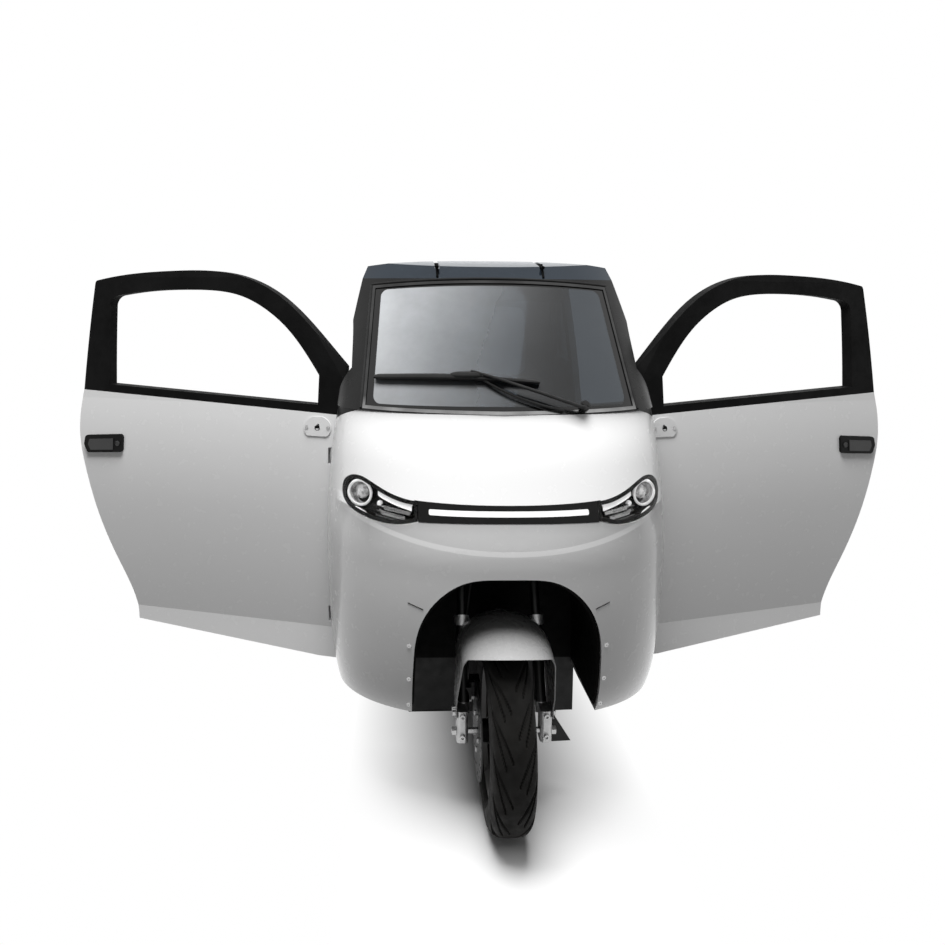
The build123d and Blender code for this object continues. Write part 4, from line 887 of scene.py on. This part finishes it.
def stuffed(node, cell, channels):
    """A cushion blown up from its CAD form as cloth under pressure, then drawn in along upright
    channels at these places across the vehicle."""
    swell, width, depth = 0.010, 0.006, 0.007
    mesh = nodes[node].data.copy()
    mesh.name = node + "_cover"
    cushion = bpy.data.objects.new(node + "_cover", mesh)
    bpy.context.collection.objects.link(cushion)
    form = bmesh.new()
    form.from_mesh(mesh)
    bmesh.ops.remove_doubles(form, verts=form.verts, dist=1e-5)
    form.to_mesh(mesh)
    form.free()
    form = points_of(mesh)
    middle, half = (form.max(0) + form.min(0)) / 2, (form.max(0) - form.min(0)) / 2
    form = middle + (form - middle) * (1 - 0.45 * swell / half)
    mesh.vertices.foreach_set("co", form.ravel())
    mesh.update()
    bpy.context.view_layer.objects.active = cushion
    remesh = cushion.modifiers.new("remesh", "REMESH")
    remesh.mode = "VOXEL"
    remesh.voxel_size = cell
    bpy.ops.object.modifier_apply(modifier="remesh")
    before = points_of(cushion.data)
    cloth = cushion.modifiers.new("cloth", "CLOTH")
    cloth.settings.use_pressure = True
    cloth.settings.uniform_pressure_force = 4.0
    cloth.settings.effector_weights.gravity = 0.0
    cloth.settings.quality = 4
    cloth.point_cache.frame_start, cloth.point_cache.frame_end = 1, 20
    for step in range(1, 21):
        bpy.context.scene.frame_set(step)
    bpy.ops.object.modifier_apply(modifier="cloth")
    bpy.context.scene.frame_set(1)
    move = points_of(cushion.data) - before
    length = np.linalg.norm(move, axis=1)[:, None]
    after = before + move * np.minimum(1, swell / np.maximum(length, 1e-9))
    low, high = (np.array(c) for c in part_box(node))
    for spot in channels:
        shape = np.exp(-((after[:, 0] - spot) / width) ** 2)
        centre = (low + high) / 2
        pull = (after - centre) / ((high - low) / 2)
        pull[:, 0] = 0
        length = np.linalg.norm(pull, axis=1)[:, None]
        after = after - depth * shape[:, None] * pull / np.maximum(length, 0.2)
    after = np.clip(after, low - 0.003, high + 0.003)
    cushion.data.vertices.foreach_set("co", after.ravel())
    smooth = cushion.modifiers.new("smooth", "SUBSURF")
    smooth.levels = smooth.render_levels = 1
    bpy.ops.object.modifier_apply(modifier="smooth")
    cushion.data.shade_smooth()
    cushion.data.materials.clear()
    cushion.data.materials.append(seat_cover)
    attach(cushion, "body")
    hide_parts(node)


stuffed("driver_seat_cushion", 0.006, (-0.15, 0.15))
stuffed("driver_seat_backrest", 0.006, (-0.14, 0.14))
stuffed("bench_cushion", 0.007, (-0.2, 0.0, 0.2))
stuffed("bench_backrest", 0.007, (-0.2, 0.0, 0.2))


# ---- Floor, light and camera --------------------------------------------------------------------
# A pale floor that fades to white, one large soft lamp overhead on the left, and an even sky.
def straight_rays(tree):
    """1 for what the camera sees, straight or by mirror and glass; 0 for the light that falls."""
    path = add(tree, "LightPath")
    seen = calc(tree, "MAXIMUM", path.outputs["Is Camera Ray"], path.outputs["Is Glossy Ray"])
    return calc(tree, "MAXIMUM", seen, path.outputs["Is Transmission Ray"])


floor_mesh = bpy.data.meshes.new("floor")
reach = 40.0
floor_mesh.from_pydata([(-reach, -reach, 0), (reach, -reach, 0), (reach, reach, 0), (-reach, reach, 0)], [],
                       [(0, 1, 2, 3)])
floor = bpy.data.objects.new("floor", floor_mesh)
bpy.context.collection.objects.link(floor)
floor_paint, tree, shader = blank("floor_paint", Roughness=0.9, Specular_IOR_Level=0.1)
place = here(tree)
fleck = ramp(tree, noise(tree, place, 3, 4), 0.3, 0.7, 0, 1)
across, aft, _ = axes(tree, place)
over_x = ramp(tree, calc(tree, "ABSOLUTE", across), 0.05, 0.44, 0, 1)
over_y = ramp(tree, calc(tree, "ABSOLUTE", aft), 0.95, 1.45, 0, 1)
away = calc(tree, "MAXIMUM", over_x, over_y)
glow = add(tree, "Emission", Color=grey(1.0), Strength=1.0).outputs[0]
seen = straight_rays(tree)
feed(shader, "Base Color", mix(tree, seen, mix(tree, fleck, grey(0.1), grey(0.09)),
                               mix(tree, fleck, grey(0.8), grey(0.78))))
share = calc(tree, "MULTIPLY", seen, away)
blend = add(tree, "MixShader", Fac=share, i1=shader.outputs[0], i2=glow)
tree.links.new(blend.outputs[0], tree.nodes["Material Output"].inputs["Surface"])
floor_mesh.materials.append(floor_paint)

world = bpy.data.worlds.new("sky")
bpy.context.scene.world = world
world.use_nodes = True
tree = world.node_tree
backdrop = tree.nodes["Background"]
seen = straight_rays(tree)
tree.links.new(ramp(tree, seen, 0, 1, 0.14, 1.0), backdrop.inputs["Strength"])
backdrop.inputs["Color"].default_value = grey(1.0)


def lamp(name, place, target, size, watts):
    """A square area lamp at a place, turned towards a target."""
    light = bpy.data.lights.new(name, "AREA")
    light.size = size
    light.energy = watts
    thing = bpy.data.objects.new(name, light)
    thing.location = place
    thing.rotation_euler = (Vector(target) - Vector(place)).to_track_quat("-Z", "Y").to_euler()
    thing.visible_glossy = False
    bpy.context.collection.objects.link(thing)


lamp("key", (-0.6, -1.5, 6.1), (0, 0, 0.4), 3.0, 580)

camera_place = Vector((-0.2757, -2.830, 1.435))
pitch, yaw, roll = math.radians(4.4), math.radians(1.5), math.radians(0.4)
camera_data = bpy.data.cameras.new("camera")
camera_data.lens = 28.74
camera_data.sensor_width = 36.0
camera_data.shift_x = 0.0502
camera_data.shift_y = -0.1229
camera = bpy.data.objects.new("camera", camera_data)
turn = Matrix.Rotation(-yaw, 4, "Z") @ Matrix.Rotation(math.pi / 2 - pitch, 4, "X")
turn = turn @ Matrix.Rotation(roll, 4, "Z")
camera.matrix_world = Matrix.Translation(camera_place) @ turn
bpy.context.collection.objects.link(camera)
bpy.context.scene.camera = camera
bpy.context.scene.view_settings.view_transform = "Standard"
